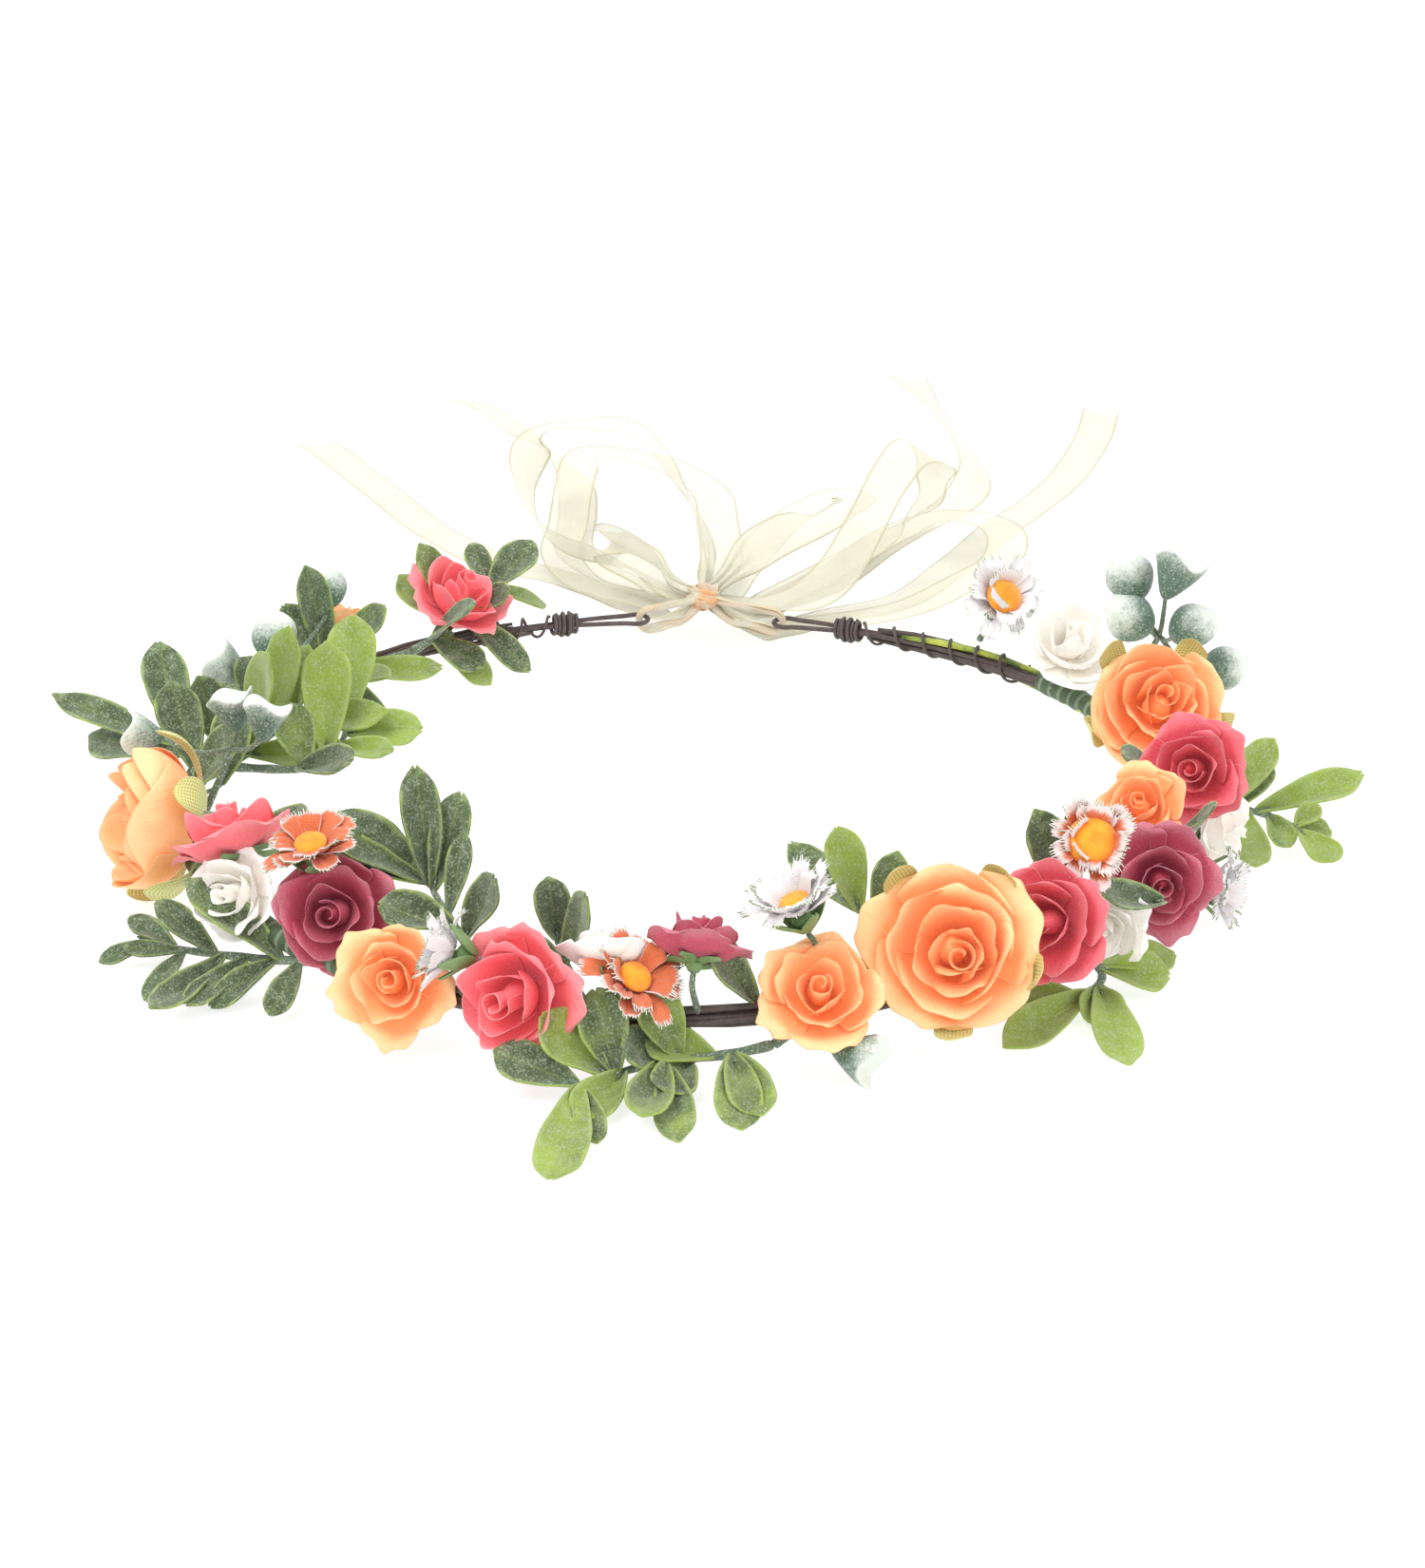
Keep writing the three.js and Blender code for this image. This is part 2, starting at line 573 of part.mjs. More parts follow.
// Ribbon runs, from the knot outwards: points and the strip's lean from lying flat, in degrees.
const RIBBONS = {
  ribbon_loop_left_high: [
    [-2, 112, 12, 20], [-8, 126, 11, 30], [-16, 138, 11, 40], [-27, 147, 11, 50], [-34, 156, 12, 60],
    [-38, 166, 15, 60], [-39, 175, 21, 50], [-35, 180, 28, 20], [-27, 174, 33, 0], [-16, 167, 35, 0],
    [-7, 157, 33, -30], [-1, 143, 28, -50], [4, 130, 24, -60], [6, 116, 20, -60],
  ],
  ribbon_loop_left_low: [
    [7, 117, 12, 0], [9, 138, 13, 0], [8, 160, 14, 0], [7, 172, 15, 0], [2, 186, 15, 0], [-7, 199, 15, 0],
    [-18, 211, 13, 0], [-26, 211, 11, -20], [-28, 198, 8, 0], [-29, 179, 5, 0], [-30, 161, 4, 0],
    [-23, 141, 4, 0], [-9, 125, 6, 0], [-3, 117, 8, 0],
  ],
  ribbon_loop_left_small: [
    [-2, 108, 16, 60], [-5, 114, 19, 60], [-10, 120, 21, 60], [-16, 126, 21, 60], [-17, 128, 18, 60],
    [-9, 121, 16, 60], [-4, 114, 14, 60],
  ],
  ribbon_loop_right_near: [
    [10, 111, 17, 50], [16, 119, 20, 50], [22, 127, 21, 50], [29, 138, 20, 30], [36, 158, 15, 0],
    [42, 178, 12, 0], [38, 188, 10, 0], [28, 177, 9, 0], [20, 159, 9, 0], [13, 135, 9, 0], [9, 119, 9, 0],
  ],
  ribbon_loop_right_high: [
    [12, 109, 12, 0], [20, 112, 10, 0], [29, 117, 10, 20], [36, 125, 13, 40], [42, 132, 21, 50],
    [48, 140, 30, 50], [54, 147, 35, 30], [60, 155, 29, 0], [59, 158, 19, 0], [54, 163, 11, 0],
    [45, 161, 6, 0], [35, 149, 5, 0], [24, 130, 6, 0], [13, 115, 7, 0],
  ],
  ribbon_loop_right_low: [
    [14, 109, 8, 0], [22, 113, 5, 0], [33, 118, 3, 0], [51, 126, 3, 0], [65, 140, 4, 0], [76, 148, 8, 0],
    [77, 160, 11, 0], [69, 178, 8, 0], [59, 183, 5, 0], [48, 174, 3, 0], [37, 153, 3, 0], [24, 132, 4, 0],
    [15, 119, 5, 0],
  ],
  ribbon_tail_left_outer: [
    [-4, 113, 6, 10], [-10, 128, 3, 0], [-19, 143, 1, 0], [-32, 155, 1, 0], [-46, 164, 1, 0],
    [-62, 185, 1, 0], [-78, 217, 1, 0], [-91, 242, 1, 0], [-98, 255, 1, 0],
  ],
  ribbon_tail_left_inner: [
    [1, 118, 8, 0], [-7, 135, 4, 0], [-18, 152, 2, 0], [-27, 170, 2, 0], [-27, 197, 2, 0], [-29, 222, 3, 20],
    [-38, 244, 5, 50], [-49, 262, 5, 60], [-59, 276, 4, 30], [-64, 286, 2, 10],
  ],
  ribbon_tail_right_outer: [
    [14, 113, 3, 0], [21, 118, 1, 0], [34, 127, 1, 0], [52, 138, 1, 0], [67, 165, 1, 0], [78, 188, 1, 0],
    [89, 207, 1, 0], [100, 232, 1, 0], [108, 260, 1, 0], [112, 281, 1, 0],
  ],
  ribbon_tail_right_inner: [
    [11, 120, 4, 0], [20, 132, 2, 0], [34, 148, 1, 0], [48, 174, 1, 0], [60, 193, 1, 0], [69, 205, 2, 10],
    [74, 219, 4, 30], [73, 236, 5, 40], [68, 263, 5, 40], [63, 291, 4, 20], [61, 308, 2, 0],
  ],
};

function ribbonFrames(rows) {
  const path = new THREE.CatmullRomCurve3(rows.map(point));
  const leans = new THREE.CatmullRomCurve3(rows.map(([, , , lean], i) => new THREE.Vector3(i, lean, 0)));
  const pieces = (rows.length - 1) * 2;
  const points = [];
  const across = [];
  for (let i = 0; i <= pieces; i++) {
    const share = i / pieces;
    points.push(path.getPoint(share));
    const ahead = path.getTangent(share);
    const flat = new THREE.Vector3().crossVectors(UP, ahead).normalize();
    const lean = THREE.MathUtils.degToRad(leans.getPoint(share).y);
    across.push(flat.applyAxisAngle(ahead, lean));
  }
  return { points, across };
}

function ribbonSolid(rows, grow) {
  const { points, across } = ribbonFrames(rows);
  const half = RIBBON_WIDTH / 2 + grow;
  const thick = RIBBON_THICKNESS / 2 + grow;
  const section = new THREE.Shape([
    new THREE.Vector2(-half, -thick),
    new THREE.Vector2(half, -thick),
    new THREE.Vector2(half, thick),
    new THREE.Vector2(-half, thick),
  ]);
  return solid(sweep(points, across, section));
}

for (const [name, rows] of Object.entries(RIBBONS)) {
  addPart(name, 'ribbon', (grow) => ribbonSolid(rows, grow));
}

export default crown;
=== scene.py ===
"""Flower crown: dresses the hoop with paper roses, cloth daisies, flocked leaves, buds and a ribbon bow."""

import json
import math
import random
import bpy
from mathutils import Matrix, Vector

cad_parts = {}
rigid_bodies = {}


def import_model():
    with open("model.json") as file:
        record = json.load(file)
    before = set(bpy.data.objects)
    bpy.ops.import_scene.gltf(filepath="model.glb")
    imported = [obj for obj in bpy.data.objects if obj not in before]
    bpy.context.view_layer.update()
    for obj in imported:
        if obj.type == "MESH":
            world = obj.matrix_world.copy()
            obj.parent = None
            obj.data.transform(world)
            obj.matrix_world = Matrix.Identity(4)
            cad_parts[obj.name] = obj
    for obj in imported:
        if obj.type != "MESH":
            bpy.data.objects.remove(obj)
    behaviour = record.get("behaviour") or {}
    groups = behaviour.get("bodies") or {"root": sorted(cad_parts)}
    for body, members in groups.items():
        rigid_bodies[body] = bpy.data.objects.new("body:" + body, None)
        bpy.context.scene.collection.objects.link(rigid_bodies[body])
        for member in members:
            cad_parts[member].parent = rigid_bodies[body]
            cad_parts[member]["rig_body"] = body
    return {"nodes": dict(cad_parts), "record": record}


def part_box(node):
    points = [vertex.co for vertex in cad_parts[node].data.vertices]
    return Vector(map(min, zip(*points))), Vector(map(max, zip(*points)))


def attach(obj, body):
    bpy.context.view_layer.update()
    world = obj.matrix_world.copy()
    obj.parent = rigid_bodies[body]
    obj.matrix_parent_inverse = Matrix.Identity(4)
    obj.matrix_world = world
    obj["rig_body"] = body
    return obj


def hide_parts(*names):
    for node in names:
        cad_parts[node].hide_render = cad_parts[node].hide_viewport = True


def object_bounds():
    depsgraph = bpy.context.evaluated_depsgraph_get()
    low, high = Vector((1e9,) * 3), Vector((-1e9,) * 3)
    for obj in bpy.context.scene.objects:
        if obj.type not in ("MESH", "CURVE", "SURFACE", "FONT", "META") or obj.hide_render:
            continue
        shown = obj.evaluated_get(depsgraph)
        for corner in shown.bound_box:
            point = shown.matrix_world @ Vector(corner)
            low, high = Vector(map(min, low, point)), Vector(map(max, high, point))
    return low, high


bl_info = {
    "name": "Flower Crown",
    "version": (1, 0, 0),
    "blender": (4, 5, 0),
    "location": "View3D > Sidebar > Crown",
    "description": "Builds the flowers, leaves, buds, wires and ribbon of a flower crown round its frame",
    "category": "Object",
}

import bmesh
import bpy
from bpy.props import FloatProperty, FloatVectorProperty, PointerProperty
from mathutils import Matrix, Vector, noise

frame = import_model()
CAD_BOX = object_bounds()

# Lengths in the tables and in the making of each piece are in millimetres, in the frame's own axes.
MM = 0.001
WELD = 1e-4
HOOP_HEIGHT = 11
UP = Vector((0, 0, 1))

# The way that the upper sides of the leaves lean, and the height at which a drooping leaf lies on the table.
LEAF_FACING = Vector((0, -0.55, 0.83))
LEAF_REST = 0.5

# How far the stems reach from the hoop's line, and the furthest that a head is set forward to clear them.
BUNDLE_REACH = 2.2
FURTHEST_FORWARD = 5

# Steps along a stem or a link of ribbon, and the shape of a leaf's and a petal's sheet in columns and rows.
STEM_STEPS = 24
LINK_STEPS = 60
LEAF_GRID = (10, 12)
PETAL_GRID = (10, 9)
CLOTH_COLUMNS = 12
SEPALS = 5

# The camera: how far above the table it looks down from, in degrees, and how far away and at what, in metres.
CAMERA_RISE = 23.5
CAMERA_DISTANCE = 0.8
CAMERA_AIM = Vector((0.0068, 0.0009, 0.0130))


def tint(code):
    """The scene-linear colour of a six-digit colour code."""
    parts = [int(code[i:i + 2], 16) / 255 for i in (0, 2, 4)]
    return tuple(p / 12.92 if p <= 0.04045 else ((p + 0.055) / 1.055) ** 2.4 for p in parts)


def colour(name, description, code):
    return FloatVectorProperty(
        name=name, description=description, subtype="COLOR", size=3, min=0, max=1, default=tint(code)
    )


def length(name, description, default):
    return FloatProperty(name=name, description=description, subtype="DISTANCE", min=0, default=default)


class CrownSizes(bpy.types.PropertyGroup):
    """Sizes of the crown's materials."""

    hoop_radius: length("Hoop radius", "From the middle of the head opening to the wire", 0.1)
    wire_radius: length("Wire radius", "Half the thickness of the covered wire", 0.0006)
    binding_radius: length("Binding radius", "Half the thickness of the fine binding wire", 0.0004)
    paper: length("Paper", "Thickness of a rose petal", 0.00018)
    foam: length("Foam", "Thickness of a white foam petal", 0.00045)
    cloth: length("Cloth", "Thickness of a daisy petal", 0.0003)
    leaf: length("Leaf", "Thickness of a flocked leaf", 0.0006)
    ribbon_width: length("Ribbon width", "Width of the sheer ribbon", 0.010)
    ribbon: length("Ribbon", "Thickness of the sheer ribbon", 0.00012)


class CrownColours(bpy.types.PropertyGroup):
    """Colours of the crown's materials."""

    coral: colour("Coral", "Coral paper roses", "ee6d74")
    deep_coral: colour("Deep coral", "The darker coral paper roses", "dc5a66")
    burgundy: colour("Burgundy", "Burgundy paper roses", "b5485e")
    orange: colour("Orange", "Orange rose petals", "fcab72")
    white: colour("White", "White petals", "f8f5ef")
    cloth_orange: colour("Orange cloth", "Orange daisy petals", "ec7a48")
    heart: colour("Heart", "Yellow middles of the daisies", "f7a81c")
    lime: colour("Lime", "Young leaves and leaf margins", "96ae48")
    green: colour("Green", "Grown leaves under their frost", "586a48")
    stem: colour("Stem", "Frosted stems", "6c8168")
    sepal: colour("Sepal", "Plastic sepals", "6f9a4d")
    mesh: colour("Mesh", "Woven sepals of the large roses", "d0d04c")
    bud: colour("Bud", "Foot of the buds", "55755f")
    wire: colour("Wire", "Paper-covered wire", "46322b")
    ribbon: colour("Ribbon", "Sheer ribbon", "e9e6d2")


# Roses: node: (style, paper, heading and rise of the way it faces, radius)
ROSES = {
    "coral_rose_back": ("paper", "coral", -30, 62, 10.5),
    "small_orange_rose_back": ("small", "orange", 120, 45, 8),
    "big_orange_rose_left": ("globe", "orange", 195, 14, 14.5),
    "coral_rose_left": ("paper", "coral", 120, 55, 11),
    "white_rose_left": ("paper", "white", -120, 22, 9),
    "burgundy_rose_left": ("paper", "burgundy", -90, 25, 11.5),
    "small_orange_rose_left": ("small", "orange", -105, 20, 11.5),
    "coral_rose_front": ("paper", "coral", -120, 10, 12),
    "white_rose_front": ("foam", "white", 90, 50, 7.5),
    "burgundy_rose_front": ("paper", "burgundy", 80, 50, 8.5),
    "small_orange_rose_front": ("small", "orange", -90, 50, 12),
    "big_orange_rose_front": ("garden", "orange", -95, 30, 16),
    "coral_rose_front_right": ("paper", "deep_coral", -115, 20, 11),
    "white_rose_front_right": ("paper", "white", -100, 0, 8),
    "small_orange_rose_right": ("small", "orange", -110, 40, 9.5),
    "burgundy_rose_right": ("paper", "burgundy", -90, 15, 10),
    "coral_rose_right": ("paper", "deep_coral", -110, 25, 10.5),
    "big_orange_rose_right": ("garden", "orange", -85, 35, 15),
    "white_rose_right": ("foam", "white", -30, 0, 8),
    "white_rose_back": ("foam", "white", -80, 55, 9.5),
}

# Heads that lie over the bundle, and how far they are moved to do so.
LIFTED = {
    "white_rose_left": (0, -4, 5),
    "big_orange_rose_left": (-2, -1, 2.6),
    "small_orange_rose_left": (0, -4, 2),
    "coral_rose_front": (-1, -3, 1),
    "big_orange_rose_front": (0, -3, 1),
}

# Rings of petals from the outside in: (petals, reach, height of the rim, half width of a petal, radius it is
# curved to across, outward curl of the rim, point), all in head radii; heart: (turns, reach, height) of the
# rolled middle; scale: how much of the head radius the petals are made to.
STYLES = {
    "garden": {
        "scale": 0.9,
        "rings": [
            (5, 0.94, -0.04, 0.86, 1.10, 0.20, 0.0), (4, 0.71, 0.28, 0.82, 0.80, 0.15, 0.0),
            (4, 0.45, 0.40, 0.56, 0.62, 0.12, 0.03), (4, 0.23, 0.40, 0.38, 0.50, 0.08, 0.05),
        ],
        "heart": (1.3, 0.15, 0.36),
    },
    "globe": {
        "scale": 1.04,
        "rings": [
            (5, 0.94, 0.40, 1.06, 0.95, -0.04, 0.0), (5, 0.80, 0.48, 0.92, 0.80, -0.03, 0.0),
            (4, 0.58, 0.52, 0.62, 0.60, 0.04, 0.0), (3, 0.32, 0.48, 0.42, 0.40, 0.04, 0.0),
        ],
        "heart": (1.2, 0.14, 0.42),
    },
    "paper": {
        "scale": 0.96,
        "rings": [
            (5, 0.96, 0.04, 0.76, 1.05, 0.24, 0.05), (4, 0.68, 0.36, 0.76, 0.72, 0.18, 0.04),
            (3, 0.42, 0.50, 0.56, 0.44, 0.08, 0.0),
        ],
        "heart": (1.5, 0.20, 0.50),
    },
    "small": {
        "scale": 0.84,
        "rings": [
            (5, 0.96, -0.02, 0.78, 1.10, 0.22, 0.10), (4, 0.66, 0.28, 0.74, 0.75, 0.15, 0.04),
            (3, 0.38, 0.42, 0.54, 0.44, 0.07, 0.0),
        ],
        "heart": (1.4, 0.17, 0.44),
    },
    "foam": {
        "scale": 1.08,
        "rings": [
            (5, 0.96, 0.00, 0.94, 1.00, 0.16, 0.0), (4, 0.66, 0.32, 0.80, 0.72, 0.12, 0.0),
            (3, 0.36, 0.44, 0.50, 0.50, 0.08, 0.0),
        ],
        "heart": (0.9, 0.08, 0.42),
    },
}

# Daisies: node: (cloth, heading, rise, radius, lift of the petals in degrees, radius of the heart, petals)
DAISIES = {
    "orange_daisy_left": ("cloth_orange", -110, 74, 9, 22, 0.36, 8),
    "white_daisy_left": ("cloth_white", 175, 15, 8.5, 30, 0.34, 9),
    "orange_daisy_front": ("cloth_orange", -50, 52, 9.5, 20, 0.34, 8),
    "white_daisy_front": ("cloth_white", -155, 68, 10, 36, 0.30, 9),
    "orange_daisy_right": ("cloth_mixed", -90, 30, 10, 42, 0.50, 9),
    "white_daisy_right": ("cloth_white", -20, 0, 9, 38, 0.34, 8),
    "standing_daisy": ("cloth_white", -60, 45, 10, 36, 0.42, 8),
}
STANDING_STEM = [(66, 78, 14), (67, 77, 17), (69, 72, 22), (70, 70, 27)]

# Leaf sprigs: stem points, how lime the leaves are from 0 to 1, and leaves as rows of
# (share of the stem, heading, rise, length, width, and how lime it is where that is its own).
SPRIGS = {
    "leaf_sprig_back_left": (
        [(-60, 74, 13), (-53, 79, 16), (-43, 94, 20)], 0.45,
        [
            (0.95, 30, 45, 16, 9), (1, 135, 60, 12, 6), (1, 45, -20, 19, 6), (0.6, 160, 55, 19, 7),
            (0.4, 140, 30, 18, 8), (0.2, -60, 45, 23, 7), (0.7, -20, 30, 12, 7), (0.6, -25, -25, 20, 7),
            (0.2, -30, -15, 14, 8), (0.3, -30, -35, 16, 7),
        ],
    ),
    "leaf_sprig_left_back": (
        [(-74, 58, 13), (-76, 56, 17), (-78, 50, 21)], 0.55,
        [
            (0.3, -120, 70, 30, 8), (0.55, -10, 45, 21, 8), (1, 160, 60, 14, 8), (0.25, 5, -5, 24, 7),
            (0.3, -65, -5, 30, 8), (0.5, -60, 10, 31, 7), (0.95, 180, -10, 24, 7), (0.85, -125, -10, 17, 9),
        ],
    ),
    "leaf_sprig_left": (
        [(-93, 10, 13), (-86, 14, 17), (-80, 19, 21)], 0.9,
        [
            (0.55, -40, 70, 29, 9), (1, -40, 75, 16, 7), (0.35, -65, 60, 32, 11), (0.75, -15, 15, 26, 8),
            (0.25, -25, 10, 24, 9), (0.45, -130, 25, 13, 8),
        ],
    ),
    "leaf_sprig_far_left": (
        [(-99, -4, 13), (-99, 4, 14), (-104, 16, 15)], 0.1,
        [
            (1, 108, 60, 23, 10), (1, 145, 5, 33, 7), (0.8, 140, -5, 30, 12), (0.45, 120, 65, 19, 10),
            (0.1, -30, 55, 20, 9),
        ],
    ),
    "leaf_sprig_lower_left": (
        [(-68, -75, 10), (-78, -66, 6), (-94, -58, 4), (-104, -54, 5)], 0.15,
        [
            (0.8, 150, 22, 13, 5), (0.6, -175, 48, 16, 6), (0.75, 180, 0, 12, 4), (0.75, -110, -5, 17, 5),
            (0.55, -115, -5, 27, 7), (0.4, -125, -8, 20, 6), (0.25, -140, -10, 16, 6), (0.2, 165, 42, 24, 8),
            (0.1, -115, -25, 13, 6), (0.9, -150, -3, 11, 4),
        ],
    ),
    "leaf_sprig_inner_left": (
        [(-35, -93, 13), (-39, -80, 16), (-47, -60, 19)], 0.25,
        [
            (1, -180, 40, 23, 11), (0.95, -135, 85, 25, 8), (0.9, 0, 75, 20, 8), (0.65, 55, 70, 16, 5),
            (0.55, -170, 25, 16, 9), (0.4, -40, 60, 20, 8), (1, -175, 25, 29, 9),
        ],
    ),
    "leaf_sprig_front_inner": (
        [(-17, -97, 13), (-20, -90, 17), (-22, -86, 21)], 0.15,
        [(0.6, -60, 60, 20, 8), (0.9, -95, 65, 16, 7), (0.5, -160, 35, 13, 8)],
    ),
    "leaf_sprig_front": (
        [(18, -103, 7), (10, -103, 5), (-4, -105, 4), (-17, -113, 4)], 0.55,
        [
            (1, 160, 15, 17, 9), (0.85, 170, 40, 17, 10), (0.8, 160, 75, 16, 10), (0.55, -150, 40, 11, 9),
            (0.45, -170, 70, 16, 9), (1, -95, -3, 29, 10), (1, -80, -5, 16, 6), (0.75, -115, -5, 17, 9),
            (0.55, -100, -3, 22, 9), (0.55, -80, -3, 24, 8), (0.4, -110, -5, 13, 9), (0.2, -85, -5, 21, 9),
            (0.2, -75, -8, 19, 9), (0.3, -180, 15, 14, 9),
        ],
    ),
    "leaf_sprig_right_inner": (
        [(42, -93, 13), (38, -84, 18), (34, -77, 21)], 0.7,
        [(1, 130, 15, 21, 7), (1, 170, 75, 18, 8), (0.7, 20, 75, 17, 7), (0.45, 15, 65, 17, 6)],
    ),
    "leaf_sprig_lower_right": (
        [(78, -68, 8), (80, -72, 5), (76, -77, 3)], 0.9,
        [
            (0.95, -165, 5, 14, 9), (0.85, -135, -3, 24, 9), (0.7, -85, -5, 11, 9), (0.6, -85, -4, 26, 9),
            (0.25, 0, -10, 14, 9), (0.2, 30, -5, 18, 8),
        ],
    ),
    "leaf_sprig_right": (
        [(103, -5, 10), (112, -4, 10), (121, -2, 7), (126, -6, 6)], 0.7,
        [
            (0.35, -10, 65, 17, 8), (0.4, 30, 55, 12, 7), (0.6, 25, 5, 26, 8), (0.95, 20, 40, 7, 5),
            (0.5, -95, -10, 23, 8), (0.7, -65, -20, 9, 6), (0.95, 0, -10, 8, 6), (1, -60, -15, 13, 7),
        ],
    ),
}

# A side branch of a sprig: name: (node, stem points, how lime, leaves).
BRANCHES = {
    "leaf_branch_left": (
        "leaf_sprig_left",
        [(-93, 10, 13), (-84, 4, 15), (-76, 0, 17), (-70, 8, 18), (-69, 22, 19)], 0.9,
        [
            (0.6, 92, 68, 24, 11), (1, 82, 65, 22, 11), (0.85, -23, 19, 18, 9), (0.65, -36, 18, 15, 6),
            (1, 150, 45, 16, 8), (0.45, 157, 74, 14, 9, 0.3), (0.4, -54, 28, 22, 9, 0.1),
        ],
    ),
}

# Leaves that grow singly from the bundle: rows of (foot, heading, rise, length, width, how lime).
SINGLE_LEAVES = [
    ((-94, 13, 16), 177, 69, 17, 9, 0.1),
    ((-91, 34, 17), -67, 70, 14, 8, 0.1),
    ((74, -64, 16), -150, 70, 22, 9, 0.2),
    ((92, -64, 17), -138, 20, 20, 8, 0.1),
    ((97, -36, 17), -66, 40, 19, 8, 0.1),
    ((97, -10, 20), -123, 37, 17, 8, 0.1),
    ((15, -97, 12), -156, 55, 18, 8, 0.1),
    ((-86, -27, 13), -30, 26, 20, 9, 0.1),
    ((-93, -2, 14), 60, 66, 17, 9, 0.4),
    ((-84, -48, 13), 150, 55, 16, 8, 0.1),
]

# Bud picks: stalk points, and buds as rows of (form, middle, heading, rise, radius, and how pale where that
# is its own).
BUD_PICKS = {
    "bud_pick_back_right": (
        [(90, 45, 13), (98, 42, 23), (101, 38, 31)],
        [
            ("egg", (94, 37, 45), 150, 60, 5.5), ("cup", (103, 30, 48), 20, 65, 5.5),
            ("egg", (94, 33, 37), 190, 30, 5.5), ("egg", (107, 31, 36), 0, 35, 5),
            ("egg", (115, 37, 24), 10, 10, 5),
        ],
    ),
    "bud_pick_back_left": (
        [(-90, 38, 13), (-88, 38, 19), (-87, 36, 24)],
        [
            ("egg", (-85, 32, 33), 80, 80, 5), ("egg", (-76, 57, 35), 120, 60, 4.5),
            ("cup", (-96, 36, 25), 175, 30, 5),
        ],
    ),
    "bud_pick_left": (
        [(-95, -20, 14), (-90, -18, 25), (-89, -16, 28)],
        [
            ("cup", (-88, -17, 37), 150, 75, 4.5), ("cup", (-81, -22, 37), 40, 75, 4.5),
            ("cup", (-108, -6, 27), 180, 10, 4.5),
        ],
    ),
    "front_bud": (
        [(32, -100, 9), (31, -102, 8), (31, -104, 7)],
        [("cup", (33, -108, 7), -25, -8, 5, 0.3)],
    ),
}

# Ribbon: the knot's middle, and the runs from the knot outwards as rows of
# (x, y, z, lean of the ribbon from lying flat in degrees).
KNOT = (5, 106, 14)
LOOPS = {
    "ribbon_loop_left_high": [
        (-2, 112, 12, 20), (-8, 126, 11, 30), (-16, 138, 11, 40), (-27, 147, 11, 50), (-34, 156, 12, 60),
        (-38, 166, 15, 60), (-39, 175, 21, 50), (-35, 180, 28, 20), (-27, 174, 33, 0), (-16, 167, 35, 0),
        (-7, 157, 33, -30), (-1, 143, 28, -50), (4, 130, 24, -60), (6, 116, 20, -60),
    ],
    "ribbon_loop_left_low": [
        (7, 117, 12, 0), (9, 138, 13, 0), (8, 160, 14, 0), (7, 172, 15, 0), (2, 186, 15, 0), (-7, 199, 15, 0),
        (-18, 211, 13, 0), (-26, 211, 11, -20), (-28, 198, 8, 0), (-29, 179, 5, 0), (-30, 161, 4, 0),
        (-23, 141, 4, 0), (-9, 125, 6, 0), (-3, 117, 8, 0),
    ],
    "ribbon_loop_left_small": [
        (-2, 108, 16, 60), (-5, 114, 19, 60), (-10, 120, 21, 60), (-16, 126, 21, 60), (-17, 128, 18, 60),
        (-9, 121, 16, 60), (-4, 114, 14, 60),
    ],
    "ribbon_loop_right_near": [
        (10, 111, 17, 50), (16, 119, 20, 50), (22, 127, 21, 50), (29, 138, 20, 30), (36, 158, 15, 0),
        (42, 178, 12, 0), (38, 188, 10, 0), (28, 177, 9, 0), (20, 159, 9, 0), (13, 135, 9, 0), (9, 119, 9, 0),
    ],
    "ribbon_loop_right_high": [
        (12, 109, 12, 0), (20, 112, 10, 0), (29, 117, 10, 20), (36, 125, 13, 40), (42, 132, 21, 50),
        (48, 140, 30, 50), (54, 147, 35, 30), (60, 155, 29, 0), (59, 158, 19, 0), (54, 163, 11, 0),
        (45, 161, 6, 0), (35, 149, 5, 0), (24, 130, 6, 0), (13, 115, 7, 0),
    ],
    "ribbon_loop_right_low": [
        (14, 109, 8, 0), (22, 113, 5, 0), (33, 118, 3, 0), (51, 126, 3, 0), (65, 140, 4, 0), (76, 148, 8, 0),
        (77, 160, 11, 0), (69, 178, 8, 0), (59, 183, 5, 0), (48, 174, 3, 0), (37, 153, 3, 0), (24, 132, 4, 0),
        (15, 119, 5, 0),
    ],
}
TAILS = {
    "ribbon_tail_left_outer": [
        (-4, 113, 6, 10), (-10, 128, 3, 0), (-19, 143, 1, 0), (-32, 155, 1, 0), (-46, 164, 1, 0),
        (-62, 185, 1, 0), (-78, 217, 1, 0), (-91, 242, 1, 0), (-98, 255, 1, 0),
    ],
    "ribbon_tail_left_inner": [
        (1, 118, 8, 0), (-7, 135, 4, 0), (-18, 152, 2, 0), (-27, 170, 2, 0), (-27, 197, 2, 0),
        (-29, 222, 3, 20), (-38, 244, 5, 50), (-49, 262, 5, 60), (-59, 276, 4, 30), (-64, 286, 2, 10),
    ],
    "ribbon_tail_right_outer": [
        (14, 113, 3, 0), (21, 118, 1, 0), (34, 127, 1, 0), (52, 138, 1, 0), (67, 165, 1, 0), (78, 188, 1, 0),
        (89, 207, 1, 0), (100, 232, 1, 0), (108, 260, 1, 0), (112, 281, 1, 0),
    ],
    "ribbon_tail_right_inner": [
        (11, 120, 4, 0), (20, 132, 2, 0), (34, 148, 1, 0), (48, 174, 1, 0), (60, 193, 1, 0), (69, 205, 2, 10),
        (74, 219, 4, 30), (73, 236, 5, 40), (68, 263, 5, 40), (63, 291, 4, 20), (61, 308, 2, 0),
    ],
}


# Directions and paths


